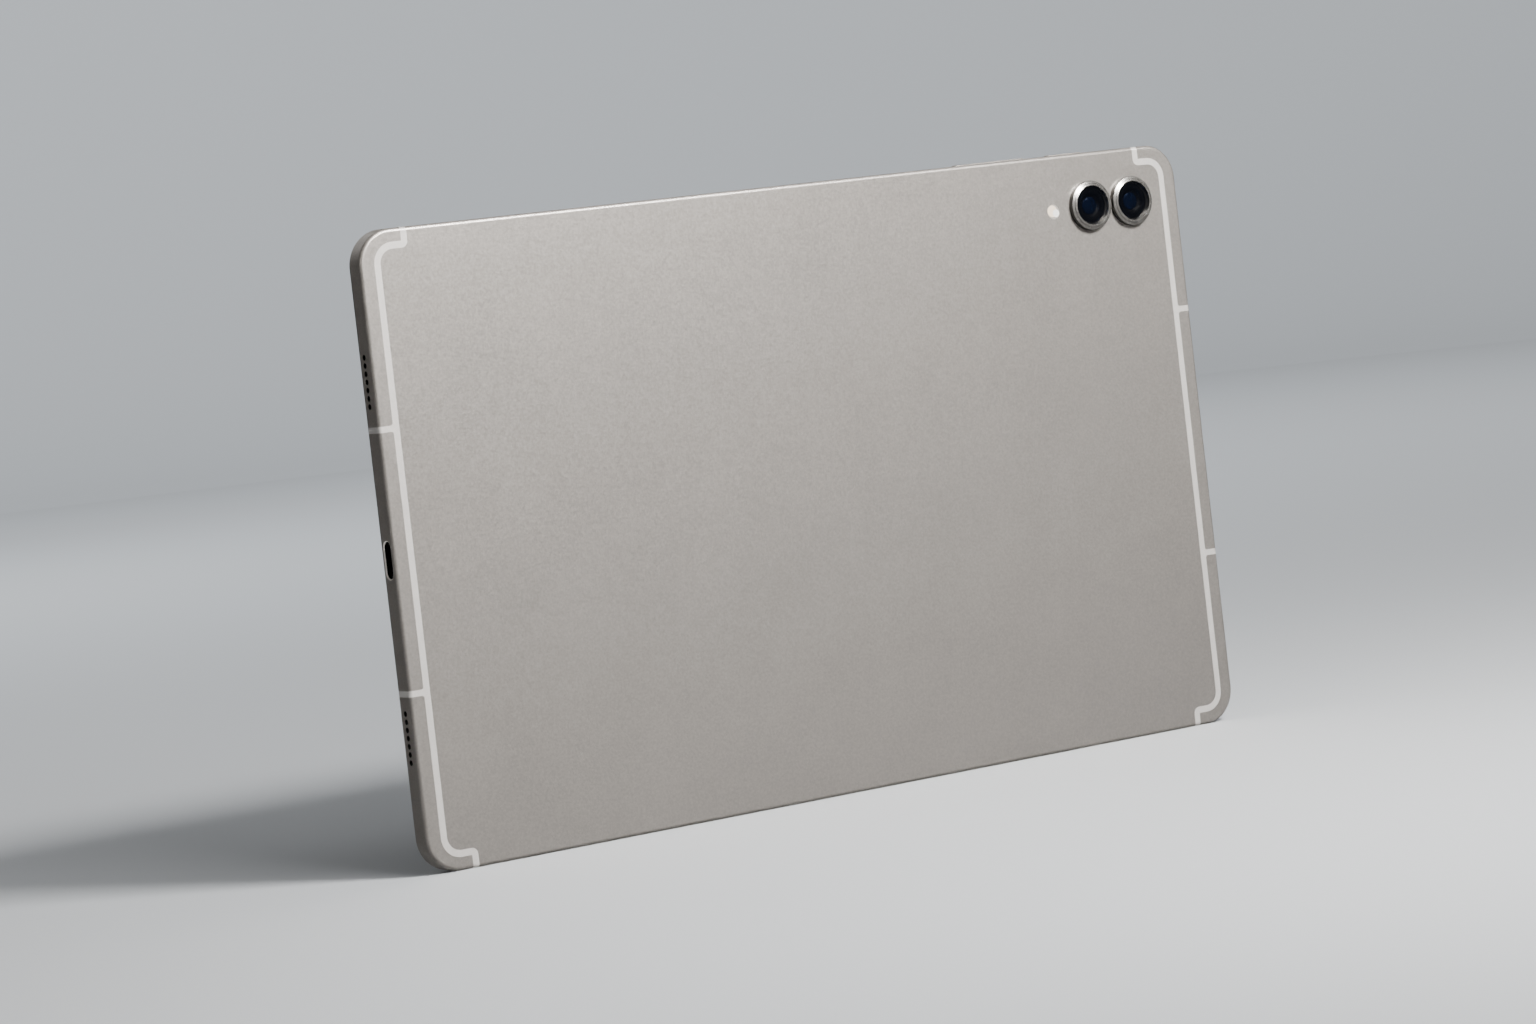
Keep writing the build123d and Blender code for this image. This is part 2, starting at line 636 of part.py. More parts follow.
# Long flat cable from the port board round the batteries to the main board
PORT_CABLE_DEPTH = 1.25
with BuildPart() as port_cable:
    add(
        ribbon(
            [(-111.0, 95.0), (-102.0, 95.0), (-102.0, 150.0), (76.5, 150.0), (76.5, 137.0)],
            4.0,
            PORT_CABLE_DEPTH,
            FLEX,
            2.5,
        )
    )
    add(block((-112.0, -108.0), (92.5, 97.5), (PORT_CABLE_DEPTH, PORT_BOARD_DEPTH), corner=0.3))
    add(block((74.0, 79.0), (136.5, 140.0), (PORT_CABLE_DEPTH, BOARD_DEPTH), corner=0.3))
port_cable.part.label = "port_cable"
export_step(port_cable.part, "parts/port_cable.step")

# ---------------------------------------------------------------- speakers
SPEAKER_WIDTH = 19.2
SPEAKER_LENGTH = 30.0
SPEAKER_REAR = 1.2
SPEAKER_FRONT = 3.8
SPEAKER_GAP = 0.3
CONE_OUTER = (24.0, 11.0)
CONE_INNER = (19.0, 6.0)
CONE_DEPTH = 0.5
OUTLET = (1.2, 15.0)
OUTLET_LENGTH = 2.5
MESH = (2.4, 15.6)
MESH_THICKNESS = 0.2
for end, side in (("left", -1), ("right", 1)):
    outer_x = side * (END_X - WALL - SPEAKER_GAP)
    centre_x = outer_x - side * SPEAKER_WIDTH / 2
    for level, up in (("lower", -1), ("upper", 1)):
        centre_z = PORT_Z + up * SPEAKER_OFFSET
        with BuildPart() as speaker:
            with BuildSketch(depth_plane(SPEAKER_REAR)):
                with Locations((centre_x, centre_z)):
                    RectangleRounded(SPEAKER_WIDTH, SPEAKER_LENGTH, 1.2)
            extrude(amount=-(SPEAKER_FRONT - SPEAKER_REAR))
            # Oval cone recess with a raised centre, on the screen side
            with BuildSketch(depth_plane(SPEAKER_FRONT)):
                with Locations((centre_x - side * 2.0, centre_z)):
                    SlotOverall(*CONE_OUTER, rotation=90)
                    SlotOverall(*CONE_INNER, rotation=90, mode=Mode.SUBTRACT)
            extrude(amount=CONE_DEPTH, mode=Mode.SUBTRACT)
            # Sound outlet that faces the grille
            with BuildSketch(Plane.YZ.offset(outer_x)):
                with Locations((depth_y(3.0), centre_z)):
                    Rectangle(*OUTLET)
            extrude(amount=-side * OUTLET_LENGTH, mode=Mode.SUBTRACT)
        speaker.part.label = f"speaker_{end}_{level}"
        export_step(speaker.part, f"parts/speaker_{end}_{level}.step")

with BuildPart() as speaker_meshes:
    for side in (-1, 1):
        with BuildSketch(Plane.YZ.offset(side * (END_X - WALL))):
            with Locations(*[(depth_y(SPEAKER_DEPTH), PORT_Z + up * SPEAKER_OFFSET) for up in (-1, 1)]):
                Rectangle(*MESH)
        extrude(amount=-side * MESH_THICKNESS)
speaker_meshes.part.label = "speaker_meshes"
export_step(speaker_meshes.part, "parts/speaker_meshes.step")

# ---------------------------------------------------------------- rear cameras
RING_BORE = 5.55
RING_SEAT = 1.0
SEAT_BORE = 4.9
NECK = 0.7
MODULE_SIZE = 10.5
MODULE_DEPTH = 0.95
MODULE = 2.75
BARREL_RADIUS = 4.6
BARREL_LIP_DEPTH = -0.8
for position, camera_x in zip(("inner", "outer"), CAMERA_XS):
    with BuildPart() as camera_ring:
        with BuildSketch(radial_plane(camera_x, CAMERA_Z)) as ring_profile:
            with BuildLine():
                Polyline(
                    (RING_RADIUS, 0),
                    (RING_RADIUS, -1.4),
                    (RING_BORE + 0.2, -RING_RISE),
                    (RING_BORE, -RING_RISE),
                    (RING_BORE, -RING_SEAT),
                    (SEAT_BORE, -RING_SEAT),
                    (SEAT_BORE, NECK),
                    (RING_NECK_RADIUS, NECK),
                    (RING_NECK_RADIUS, 0),
                    close=True,
                )
            make_face()
            shoulder = ring_profile.vertices().sort_by(Axis.X).group_by(Axis.X)[-1].sort_by(Axis.Y)[0]
            fillet(shoulder, 0.3)
        revolve(axis=front_axis(camera_x, CAMERA_Z))
    camera_ring.part.label = f"camera_ring_{position}"
    export_step(camera_ring.part, f"parts/camera_ring_{position}.step")

    with BuildPart() as camera_glass:
        with BuildSketch(depth_plane(-RING_RISE + 0.15)):
            with Locations((camera_x, CAMERA_Z)):
                Circle(RING_BORE - 0.05)
        extrude(amount=-(RING_RISE - RING_SEAT - 0.2))
    camera_glass.part.label = f"camera_glass_{position}"
    export_step(camera_glass.part, f"parts/camera_glass_{position}.step")

    with BuildPart() as camera_module:
        with BuildSketch(depth_plane(MODULE_DEPTH)):
            with Locations((camera_x, CAMERA_Z)):
                RectangleRounded(MODULE_SIZE, MODULE_SIZE, 0.8)
        extrude(amount=-MODULE)
        # Lens barrel with a stepped mouth
        with BuildSketch(depth_plane(BARREL_LIP_DEPTH)):
            with Locations((camera_x, CAMERA_Z)):
                Circle(BARREL_RADIUS)
        extrude(amount=-(MODULE_DEPTH - BARREL_LIP_DEPTH))
        with BuildSketch(radial_plane(camera_x, CAMERA_Z)):
            with BuildLine():
                Polyline((0, -0.9), (3.9, -0.9), (3.2, -0.35), (2.6, -0.1), (0, -0.1), close=True)
            make_face()
        revolve(axis=front_axis(camera_x, CAMERA_Z), mode=Mode.SUBTRACT)
        # Front lens element
        with BuildSketch(radial_plane(camera_x, CAMERA_Z)):
            with BuildLine():
                TangentArc((0, -0.5), (2.3, -0.15), tangent=(1, 0))
                Polyline((2.3, -0.15), (2.3, 0.1), (0, 0.1), (0, -0.5))
            make_face()
        revolve(axis=front_axis(camera_x, CAMERA_Z))
        # Flat cable down to the board
        if position == "inner":
            add(block((camera_x - 2.0, camera_x + 2.0), (138.6, 145.5), (BOARD_FRONT, BOARD_FRONT + FLEX)))
        else:
            add(
                ribbon(
                    [(camera_x - 4.8, 147.0), (108.0, 147.0), (108.0, 134.0), (99.0, 134.0)],
                    2.4,
                    BOARD_FRONT,
                    FLEX,
                    1.4,
                )
            )
    camera_module.part.label = f"camera_module_{position}"
    export_step(camera_module.part, f"parts/camera_module_{position}.step")

# ---------------------------------------------------------------- flash
with BuildPart() as flash_lens:
    with BuildSketch(depth_plane(FLASH_RECESS)):
        with Locations((FLASH_X, FLASH_Z)):
            Circle(FLASH_RADIUS)
    extrude(amount=-(PLATE - FLASH_RECESS))
    with BuildSketch(depth_plane(PLATE)):
        with Locations((FLASH_X, FLASH_Z)):
            Circle(FLASH_SHOULDER_RADIUS)
    extrude(amount=-FLASH_SHOULDER)
flash_lens.part.label = "flash_lens"
export_step(flash_lens.part, "parts/flash_lens.step")

with BuildPart() as flash_led:
    led_rear = 1.9
    led_x = (FLASH_X - 3.5, FLASH_X + 3.5)
    add(block(led_x, (FLASH_Z - 3.5, FLASH_Z + 3.5), (led_rear, BOARD_DEPTH), corner=0.5))
    add(block((FLASH_X - 1.8, FLASH_X + 1.8), (139.5, FLASH_Z - 3.0), (led_rear, BOARD_DEPTH)))
    # Warm and cool emitters side by side
    with BuildSketch(depth_plane(led_rear)):
        with Locations((FLASH_X, FLASH_Z)):
            with GridLocations(1.9, 1.0, 2, 1):
                Rectangle(1.5, 2.4)
    extrude(amount=0.6)
flash_led.part.label = "flash_led"
export_step(flash_led.part, "parts/flash_led.step")

# ---------------------------------------------------------------- front camera and microphones
with BuildPart() as front_camera:
    add(block((-2.6, 2.6), (FRONT_CAMERA_Z - 1.65, FRONT_CAMERA_Z + 1.65), (2.4, PANEL_DEPTH), corner=0.4))
    with BuildSketch(depth_plane(PANEL_DEPTH)):
        with Locations((0, FRONT_CAMERA_Z)):
            Circle(FRONT_CAMERA_BARREL)
    extrude(amount=-0.48)
front_camera.part.label = "front_camera"
export_step(front_camera.part, "parts/front_camera.step")

SWITCH_BASE_Z = HEIGHT - 4.85
with BuildPart() as microphones:
    for microphone_x in MICROPHONE_SPOTS:
        add(
            block(
                (microphone_x - 1.8, microphone_x + 1.8),
                (SWITCH_BASE_Z, INNER_TOP - 0.1),
                (KEY_DEPTH - 1.0, KEY_DEPTH + 1.0),
                corner=0.2,
            )
        )
    # Sound ports under the holes in the wall
    with BuildSketch(Plane.XY.offset(INNER_TOP)):
        with Locations(*[(x, KEY_Y) for x in MICROPHONE_SPOTS]):
            Circle(0.3)
    extrude(amount=-0.6, mode=Mode.SUBTRACT)
microphones.part.label = "microphones"
export_step(microphones.part, "parts/microphones.step")


# ---------------------------------------------------------------- keys
RIB_RADIUS = 0.5
RIB_HALF = 0.9
KEY_CAP_RADIUS = 0.22
NUB_RADIUS = 0.8
DOME_RADIUS = 0.75
SWITCH_BODY = (3.6, 1.9)
SWITCH_HEIGHT = 1.05


def edge_key(centre_x, length, flange_top, nub_bottom, nub_offsets, rib_z=None):
    """A key in the upper edge: its cap, its retaining flange and a nub over each switch.

    A rocker also has a round rib half-way along, at rib_z, on which it tilts.
    """
    with BuildPart() as key:
        with BuildSketch(Plane.XY.offset(flange_top)):
            with Locations((centre_x, KEY_Y)):
                SlotOverall(length, KEY_WIDTH)
        extrude(amount=HEIGHT + KEY_RISE - flange_top)
        fillet(key.faces().sort_by(Axis.Z)[-1].edges(), KEY_CAP_RADIUS)
        with BuildSketch(Plane.XY.offset(flange_top - KEY_FLANGE)):
            with Locations((centre_x, KEY_Y)):
                SlotOverall(length + 2 * KEY_FLANGE_SPREAD, KEY_WIDTH + KEY_FLANGE_SPREAD)
        extrude(amount=KEY_FLANGE)
        with BuildSketch(Plane.XY.offset(nub_bottom)):
            with Locations(*[(centre_x + offset, KEY_Y) for offset in nub_offsets]):
                Circle(NUB_RADIUS)
        extrude(amount=flange_top - KEY_FLANGE - nub_bottom)
        if rib_z is not None:
            with BuildSketch(depth_plane(KEY_DEPTH - RIB_HALF)):
                with Locations((centre_x, rib_z)):
                    Circle(RIB_RADIUS)
            extrude(amount=-2 * RIB_HALF)
    return key


SWITCH_TOP_Z = HEIGHT - 3.35
power_key = edge_key(POWER_X, POWER_LENGTH, INNER_TOP - 0.1, SWITCH_TOP_Z + 0.35, (0.0,))
power_key.part.label = "power_key"
export_step(power_key.part, "parts/power_key.step")

volume_rocker = edge_key(
    VOLUME_X,
    VOLUME_LENGTH,
    INNER_TOP - 0.27,
    SWITCH_TOP_Z + 0.2,
    (-SWITCH_OFFSET, SWITCH_OFFSET),
    rib_z=ROCKER_PIVOT_Z,
)
volume_rocker.part.label = "volume_rocker"
export_step(volume_rocker.part, "parts/volume_rocker.step")

# Flat cable along the keys, with a dome switch under each nub
SWITCH_SPOTS = (POWER_X, VOLUME_X - SWITCH_OFFSET, VOLUME_X + SWITCH_OFFSET)
FLEX_X = (56.0, 103.0)
with BuildPart() as key_switches:
    with BuildSketch(Plane.XY.offset(SWITCH_BASE_Z - 0.2)):
        with Locations((sum(FLEX_X) / 2, depth_y(2.45))):
            Rectangle(FLEX_X[1] - FLEX_X[0], 2.5)
    extrude(amount=0.2)
    with BuildSketch(Plane.XY.offset(SWITCH_BASE_Z)):
        with Locations(*[(x, KEY_Y - 0.1) for x in SWITCH_SPOTS]):
            Rectangle(*SWITCH_BODY)
    extrude(amount=SWITCH_HEIGHT)
    with BuildSketch(Plane.XY.offset(SWITCH_BASE_Z + SWITCH_HEIGHT)):
        with Locations(*[(x, KEY_Y) for x in SWITCH_SPOTS]):
            Circle(DOME_RADIUS)
    extrude(amount=SWITCH_TOP_Z - SWITCH_BASE_Z - SWITCH_HEIGHT)
key_switches.part.label = "key_switches"
export_step(key_switches.part, "parts/key_switches.step")

# Steel bar behind the switches, with two feet on the rear plate
with BuildPart() as key_bracket:
    add(block(FLEX_X, (SWITCH_BASE_Z - 0.95, SWITCH_BASE_Z - 0.2), (PLATE, 3.7)))
    for foot_x in (60.0, 90.0):
        add(block((foot_x, foot_x + 4.0), (SWITCH_BASE_Z - 4.3, SWITCH_BASE_Z - 0.9), (PLATE, PLATE + 0.35)))
    # Bent arm that reaches over the flat cable and carries the rocker's rib
    arm_x = (VOLUME_X - 1.5, VOLUME_X + 1.5)
    arm_top = ROCKER_PIVOT_Z - RIB_RADIUS - 0.02
    add(block(arm_x, (SWITCH_BASE_Z - 0.9, arm_top), (PLATE, PLATE + 0.3)))
    add(block(arm_x, (arm_top - 0.3, arm_top), (PLATE, KEY_DEPTH + RIB_HALF)))
key_bracket.part.label = "key_bracket"
export_step(key_bracket.part, "parts/key_bracket.step")

# ---------------------------------------------------------------- card tray
TRAY_BODY_X = (TRAY_X - 10.1, TRAY_X + 6.9)
TRAY_REAR = 2.1
TRAY_FRONT = 3.4
TRAY_END_Z = 151.7
PLATE_BACK_Z = HEIGHT - 1.5
with BuildPart() as card_tray:
    with BuildSketch(Plane.XY.offset(PLATE_BACK_Z)):
        with Locations((TRAY_X, KEY_Y)):
            SlotOverall(TRAY_LENGTH, TRAY_WIDTH)
    extrude(amount=HEIGHT - PLATE_BACK_Z)
    add(block(TRAY_BODY_X, (TRAY_END_Z, PLATE_BACK_Z), (TRAY_REAR, TRAY_FRONT)))
    # Card pocket, open towards the screen
    add(
        block(
            (TRAY_BODY_X[0] + 0.9, TRAY_BODY_X[1] - 0.9),
            (TRAY_END_Z + 0.4, PLATE_BACK_Z - 0.2),
            (TRAY_REAR + 0.25, TRAY_FRONT + 1),
            corner=0.5,
        ),
        mode=Mode.SUBTRACT,
    )
    # Hole for the eject pin
    with BuildSketch(Plane.XY.offset(HEIGHT + 1)):
        with Locations((EJECT_X, KEY_Y)):
            Circle(PIN_HOLE_RADIUS)
    extrude(amount=-4, mode=Mode.SUBTRACT)
card_tray.part.label = "card_tray"
export_step(card_tray.part, "parts/card_tray.step")

# Eject rod and lever: the rod pushes one arm of the lever down and its other arm lifts the tray
ROD_RADIUS = 0.5
LEVER_X = EJECT_X - 3.6
LEVER_Z = 150.0
LEVER_HALF = 0.6
ROD_END_Z = LEVER_Z + LEVER_HALF + 0.05
with BuildPart() as eject_rod:
    with BuildSketch(Plane.XY.offset(ROD_END_Z + ROD_RADIUS)):
        with Locations((EJECT_X, KEY_Y)):
            Circle(ROD_RADIUS)
    extrude(amount=INNER_TOP - 0.2 - ROD_END_Z - ROD_RADIUS)
    with Locations((EJECT_X, KEY_Y, ROD_END_Z + ROD_RADIUS)):
        Sphere(ROD_RADIUS)
eject_rod.part.label = "eject_rod"
export_step(eject_rod.part, "parts/eject_rod.step")

PIVOT_RADIUS = 0.5
READER_REAR = 1.5
READER_FRONT = 3.75
with BuildPart() as eject_lever:
    add(
        block(
            (LEVER_X - 2.5, LEVER_X + 4.6),
            (LEVER_Z - LEVER_HALF, LEVER_Z + LEVER_HALF),
            (KEY_DEPTH - 0.55, KEY_DEPTH + 0.55),
        )
    )
    with BuildSketch(depth_plane(READER_REAR + 0.05)):
        with Locations((LEVER_X, LEVER_Z)):
            Circle(PIVOT_RADIUS)
    extrude(amount=-(READER_FRONT - READER_REAR - 0.1))
eject_lever.part.label = "eject_lever"
export_step(eject_lever.part, "parts/eject_lever.step")

with BuildPart() as card_reader:
    add(block((27.4, 50.2), (146.6, INNER_TOP - 0.6), (READER_REAR, READER_FRONT), corner=0.3))
    # Tray channel, rod channel and lever pocket
    channel = block((28.6, 46.2), (TRAY_END_Z - 0.3, INNER_TOP), (TRAY_REAR - 0.15, TRAY_FRONT + 0.15))
    add(channel, mode=Mode.SUBTRACT)
    add(block((EJECT_X - 0.8, EJECT_X + 0.8), (LEVER_Z, INNER_TOP), (1.95, 3.55)), mode=Mode.SUBTRACT)
    add(block((41.4, 49.7), (147.4, TRAY_END_Z), (1.95, 3.55)), mode=Mode.SUBTRACT)
    # Pivot holes for the lever
    with BuildSketch(depth_plane(READER_FRONT + 1)):
        with Locations((LEVER_X, LEVER_Z)):
            Circle(PIVOT_RADIUS + 0.05)
    extrude(amount=READER_FRONT + 1, mode=Mode.SUBTRACT)
    # Flat cable to the main board
    add(ribbon([(50.0, 149.0), (64.0, 149.0), (64.0, 137.5)], 4.0, BOARD_DEPTH - FLEX, FLEX, 2.5))
card_reader.part.label = "card_reader"
export_step(card_reader.part, "parts/card_reader.step")

# ---------------------------------------------------------------- keyboard contacts and cover magnets
with BuildPart() as contact_insulator:
    with BuildSketch(Plane.XY.offset(0.05)):
        with Locations((0, KEY_Y)):
            SlotOverall(*CONTACT_SLOT)
    extrude(amount=WALL)
    with BuildSketch(Plane.XY.offset(WALL + 0.05)):
        with Locations((0, KEY_Y)):
            SlotOverall(*CONTACT_SHOULDER)
    extrude(amount=CONTACT_SHOULDER_HEIGHT)
    with BuildSketch(Plane.XY.offset(-1)):
        with Locations((0, KEY_Y)):
            with GridLocations(CONTACT_PITCH, 1.0, CONTACT_COUNT, 1):
                Circle(CONTACT_RADIUS + 0.05)
    extrude(amount=6, mode=Mode.SUBTRACT)
contact_insulator.part.label = "contact_insulator"
export_step(contact_insulator.part, "parts/contact_insulator.step")

with BuildPart() as keyboard_contacts:
    with BuildSketch(Plane.XY.offset(0.12)):
        with Locations((0, KEY_Y)):
            with GridLocations(CONTACT_PITCH, 1.0, CONTACT_COUNT, 1):
                Circle(CONTACT_RADIUS)
    extrude(amount=CONTACT_LENGTH)
    fillet(keyboard_contacts.faces().group_by(Axis.Z)[0].edges(), 0.2)
keyboard_contacts.part.label = "keyboard_contacts"
export_step(keyboard_contacts.part, "parts/keyboard_contacts.step")

with BuildPart() as cover_magnets:
    for magnet_x in (-80.0, -30.0, 30.0, 80.0):
        add(block((magnet_x - 11.0, magnet_x + 11.0), (2.4, 6.0), (0.95, 3.55), corner=0.3))
cover_magnets.part.label = "cover_magnets"
export_step(cover_magnets.part, "parts/cover_magnets.step")
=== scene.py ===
import json
import math

import bmesh
import bpy
from mathutils import Matrix, Vector


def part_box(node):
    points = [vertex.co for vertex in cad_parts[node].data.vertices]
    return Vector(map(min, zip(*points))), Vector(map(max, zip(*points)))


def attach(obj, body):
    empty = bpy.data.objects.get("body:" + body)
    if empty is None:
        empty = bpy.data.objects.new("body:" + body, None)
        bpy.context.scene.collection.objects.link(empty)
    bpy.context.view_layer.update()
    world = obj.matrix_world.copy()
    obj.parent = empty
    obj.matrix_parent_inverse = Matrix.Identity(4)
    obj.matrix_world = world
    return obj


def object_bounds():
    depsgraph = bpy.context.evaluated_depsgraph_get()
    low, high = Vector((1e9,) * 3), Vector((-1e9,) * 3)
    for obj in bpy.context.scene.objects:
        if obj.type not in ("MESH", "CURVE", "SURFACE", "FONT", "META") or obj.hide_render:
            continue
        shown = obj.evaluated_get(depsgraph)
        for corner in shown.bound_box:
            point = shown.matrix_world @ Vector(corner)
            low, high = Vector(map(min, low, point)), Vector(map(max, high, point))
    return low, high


# Looks of the tablet computer, built round its CAD frame. Lengths are in metres, in the CAD frame:
# +X to the right as seen from behind, -Y out of the rear cover, +Z up.
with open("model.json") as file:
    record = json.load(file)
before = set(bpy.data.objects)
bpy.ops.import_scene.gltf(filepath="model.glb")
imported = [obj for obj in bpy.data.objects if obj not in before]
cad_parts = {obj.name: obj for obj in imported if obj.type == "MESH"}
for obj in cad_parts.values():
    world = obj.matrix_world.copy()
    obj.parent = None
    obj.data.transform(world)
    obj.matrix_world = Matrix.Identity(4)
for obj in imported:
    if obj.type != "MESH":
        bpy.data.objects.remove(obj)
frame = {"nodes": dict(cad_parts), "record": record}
CAD_LOW, CAD_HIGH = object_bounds()

MM = 0.001
COVER_LOW, COVER_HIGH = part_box("rear_cover")
REAR_Y = COVER_LOW.y
LEFT_X, RIGHT_X = CAD_LOW.x, CAD_HIGH.x
TOP_Z = COVER_HIGH.z
MIDDLE = (CAD_LOW + CAD_HIGH) / 2
BODY = "tablet"


def centre_of(node):
    """Middle of one CAD node's box."""
    low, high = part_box(node)
    return (low + high) / 2


# ---------------------------------------------------------------- shader helpers
class Recipe:
    """One procedural material, with short ways to add and join its nodes."""

    def __init__(self, name, colour=(0.5, 0.5, 0.5), roughness=0.5, metallic=0.0):
        self.material = bpy.data.materials.new(name)
        self.material.use_nodes = True
        self.tree = self.material.node_tree
        self.shader = self.tree.nodes["Principled BSDF"]
        self.point = self.tree.nodes.new("ShaderNodeTexCoord").outputs["Object"]
        self.material.diffuse_color = (*colour, 1.0)
        self.fixed("Base Color", (*colour, 1.0))
        self.fixed("Roughness", roughness)
        self.fixed("Metallic", metallic)

    def fixed(self, socket, value):
        """Sets one of the shader's own sockets to a constant."""
        self.shader.inputs[socket].default_value = value

    def feed(self, socket, output):
        """Joins an output to one of the shader's sockets."""
        self.tree.links.new(output, self.shader.inputs[socket])

    def put(self, node, socket, value):
        """Gives a node's input either a link or a constant."""
        if isinstance(value, bpy.types.NodeSocket):
            self.tree.links.new(value, node.inputs[socket])
        else:
            node.inputs[socket].default_value = value

    def maths(self, operation, first, second=0.0):
        """One arithmetic step."""
        node = self.tree.nodes.new("ShaderNodeMath")
        node.operation = operation
        self.put(node, 0, first)
        self.put(node, 1, second)
        return node.outputs[0]

    def mapped(self, value, low, high, new_low, new_high, smooth=False):
        """Maps a range of values onto another, clamped."""
        node = self.tree.nodes.new("ShaderNodeMapRange")
        node.interpolation_type = "SMOOTHSTEP" if smooth else "LINEAR"
        for socket, number in enumerate((value, low, high, new_low, new_high)):
            self.put(node, socket, number)
        return node.outputs[0]

    def swing(self, pattern, low, high):
        """Spreads the part of a noise where most of its values lie over two values."""
        return self.mapped(pattern, 0.3, 0.7, low, high)

    def mixed(self, factor, first, second):
        """A colour between two colours."""
        node = self.tree.nodes.new("ShaderNodeMix")
        node.data_type = "RGBA"
        self.put(node, "Factor", factor)
        for socket, value in ((6, first), (7, second)):
            if isinstance(value, tuple) and len(value) == 3:
                value = (*value, 1.0)
            self.put(node, socket, value)
        return node.outputs[2]

    def mixed_value(self, factor, first, second):
        """A number between two numbers."""
        node = self.tree.nodes.new("ShaderNodeMix")
        node.data_type = "FLOAT"
        self.put(node, "Factor", factor)
        self.put(node, 2, first)
        self.put(node, 3, second)
        return node.outputs[0]

    def blend(self, first, second, share):
        """Sum of two patterns: a share of the first and the rest of the second."""
        part = self.maths("MULTIPLY", first, share)
        return self.maths("ADD", part, self.maths("MULTIPLY", second, 1.0 - share))

    def span(self, across, up):
        """Length of a vector with two components."""
        squares = self.maths("ADD", self.maths("POWER", across, 2.0), self.maths("POWER", up, 2.0))
        return self.maths("POWER", squares, 0.5)

    def place(self, origin=(0, 0, 0), stretch=(1, 1, 1)):
        """The object's coordinates from an origin, stretched along each axis."""
        shift = self.tree.nodes.new("ShaderNodeVectorMath")
        shift.operation = "SUBTRACT"
        self.put(shift, 0, self.point)
        self.put(shift, 1, tuple(origin))
        scale = self.tree.nodes.new("ShaderNodeVectorMath")
        scale.operation = "MULTIPLY"
        self.put(scale, 0, shift.outputs[0])
        self.put(scale, 1, tuple(stretch))
        return scale.outputs[0]

    def split(self, vector):
        """The three coordinates of a vector."""
        node = self.tree.nodes.new("ShaderNodeSeparateXYZ")
        self.put(node, 0, vector)
        return node.outputs

    def noise(self, size, detail=2.0, vector=None, roughness=0.5):
        """Cloudy noise, about 0 to 1, whose lumps are size metres across."""
        node = self.tree.nodes.new("ShaderNodeTexNoise")
        self.put(node, "Vector", vector or self.point)
        self.put(node, "Scale", 1.0 / size)
        self.put(node, "Detail", detail)
        self.put(node, "Roughness", roughness)
        return node.outputs["Fac"]

    def cells(self, size):
        """Distance from the middles of cells that are size metres across."""
        node = self.tree.nodes.new("ShaderNodeTexVoronoi")
        self.put(node, "Vector", self.point)
        self.put(node, "Scale", 1.0 / size)
        return node.outputs["Distance"]

    def waves(self, size, vector, direction="X", distortion=0.0):
        """Straight waves, one every size metres along a direction."""
        node = self.tree.nodes.new("ShaderNodeTexWave")
        node.bands_direction = direction
        self.put(node, "Vector", vector)
        self.put(node, "Scale", math.pi / 10.0 / size)
        self.put(node, "Distortion", distortion)
        return node.outputs["Fac"]

    def bump(self, height, depth, previous=None):
        """A normal that follows a height field, whose full swing is depth metres."""
        node = self.tree.nodes.new("ShaderNodeBump")
        self.put(node, "Height", height)
        self.put(node, "Strength", 1.0)
        self.put(node, "Distance", depth)
        if previous is not None:
            self.put(node, "Normal", previous)
        return node.outputs["Normal"]

    def varied(self, colour, spread, pattern):
        """The colour, lighter and darker by a spread as a pattern runs from 0 to 1."""
        dark = tuple(c * (1.0 - spread) for c in colour)
        light = tuple(min(1.0, c * (1.0 + spread)) for c in colour)
        return self.mixed(pattern, dark, light)


# Along its rolling lines a sheet's coordinates shrink by this, which draws the grain out
ALONG_SCALE = 0.04


def plain(
    name, colour, roughness, metallic=0.0, grain=0.4 * MM, mottle=4 * MM, spread=0.08, depth=0.01 * MM
):
    """A surface with a fine grain and a broader mottle in its colour, roughness and relief."""
    recipe = Recipe(name, colour, roughness, metallic)
    fine = recipe.noise(grain, 3.0)
    broad = recipe.noise(mottle, 2.0)
    both = recipe.blend(fine, broad, 0.5)
    recipe.feed("Base Color", recipe.varied(colour, spread, recipe.swing(both, 0.0, 1.0)))
    recipe.feed("Roughness", recipe.swing(both, roughness * 0.88, min(1.0, roughness * 1.12)))
    recipe.feed("Normal", recipe.bump(fine, depth))
    return recipe


def rolled(name, colour, roughness, along=(1, 0, 0), spread=0.1):
    """Sheet metal with fine rolling lines along one direction."""
    recipe = Recipe(name, colour, roughness, 1.0)
    stretch = tuple(ALONG_SCALE if c else 1.0 for c in along)
    lines = recipe.noise(0.1 * MM, 3.0, recipe.place(stretch=stretch))
    broad = recipe.noise(3 * MM, 2.0)
    both = recipe.blend(lines, broad, 0.6)
    recipe.feed("Base Color", recipe.varied(colour, spread, recipe.swing(both, 0.0, 1.0)))
    recipe.feed("Roughness", recipe.swing(lines, roughness * 0.8, roughness * 1.2))
    recipe.feed("Normal", recipe.bump(lines, 0.004 * MM))
    return recipe


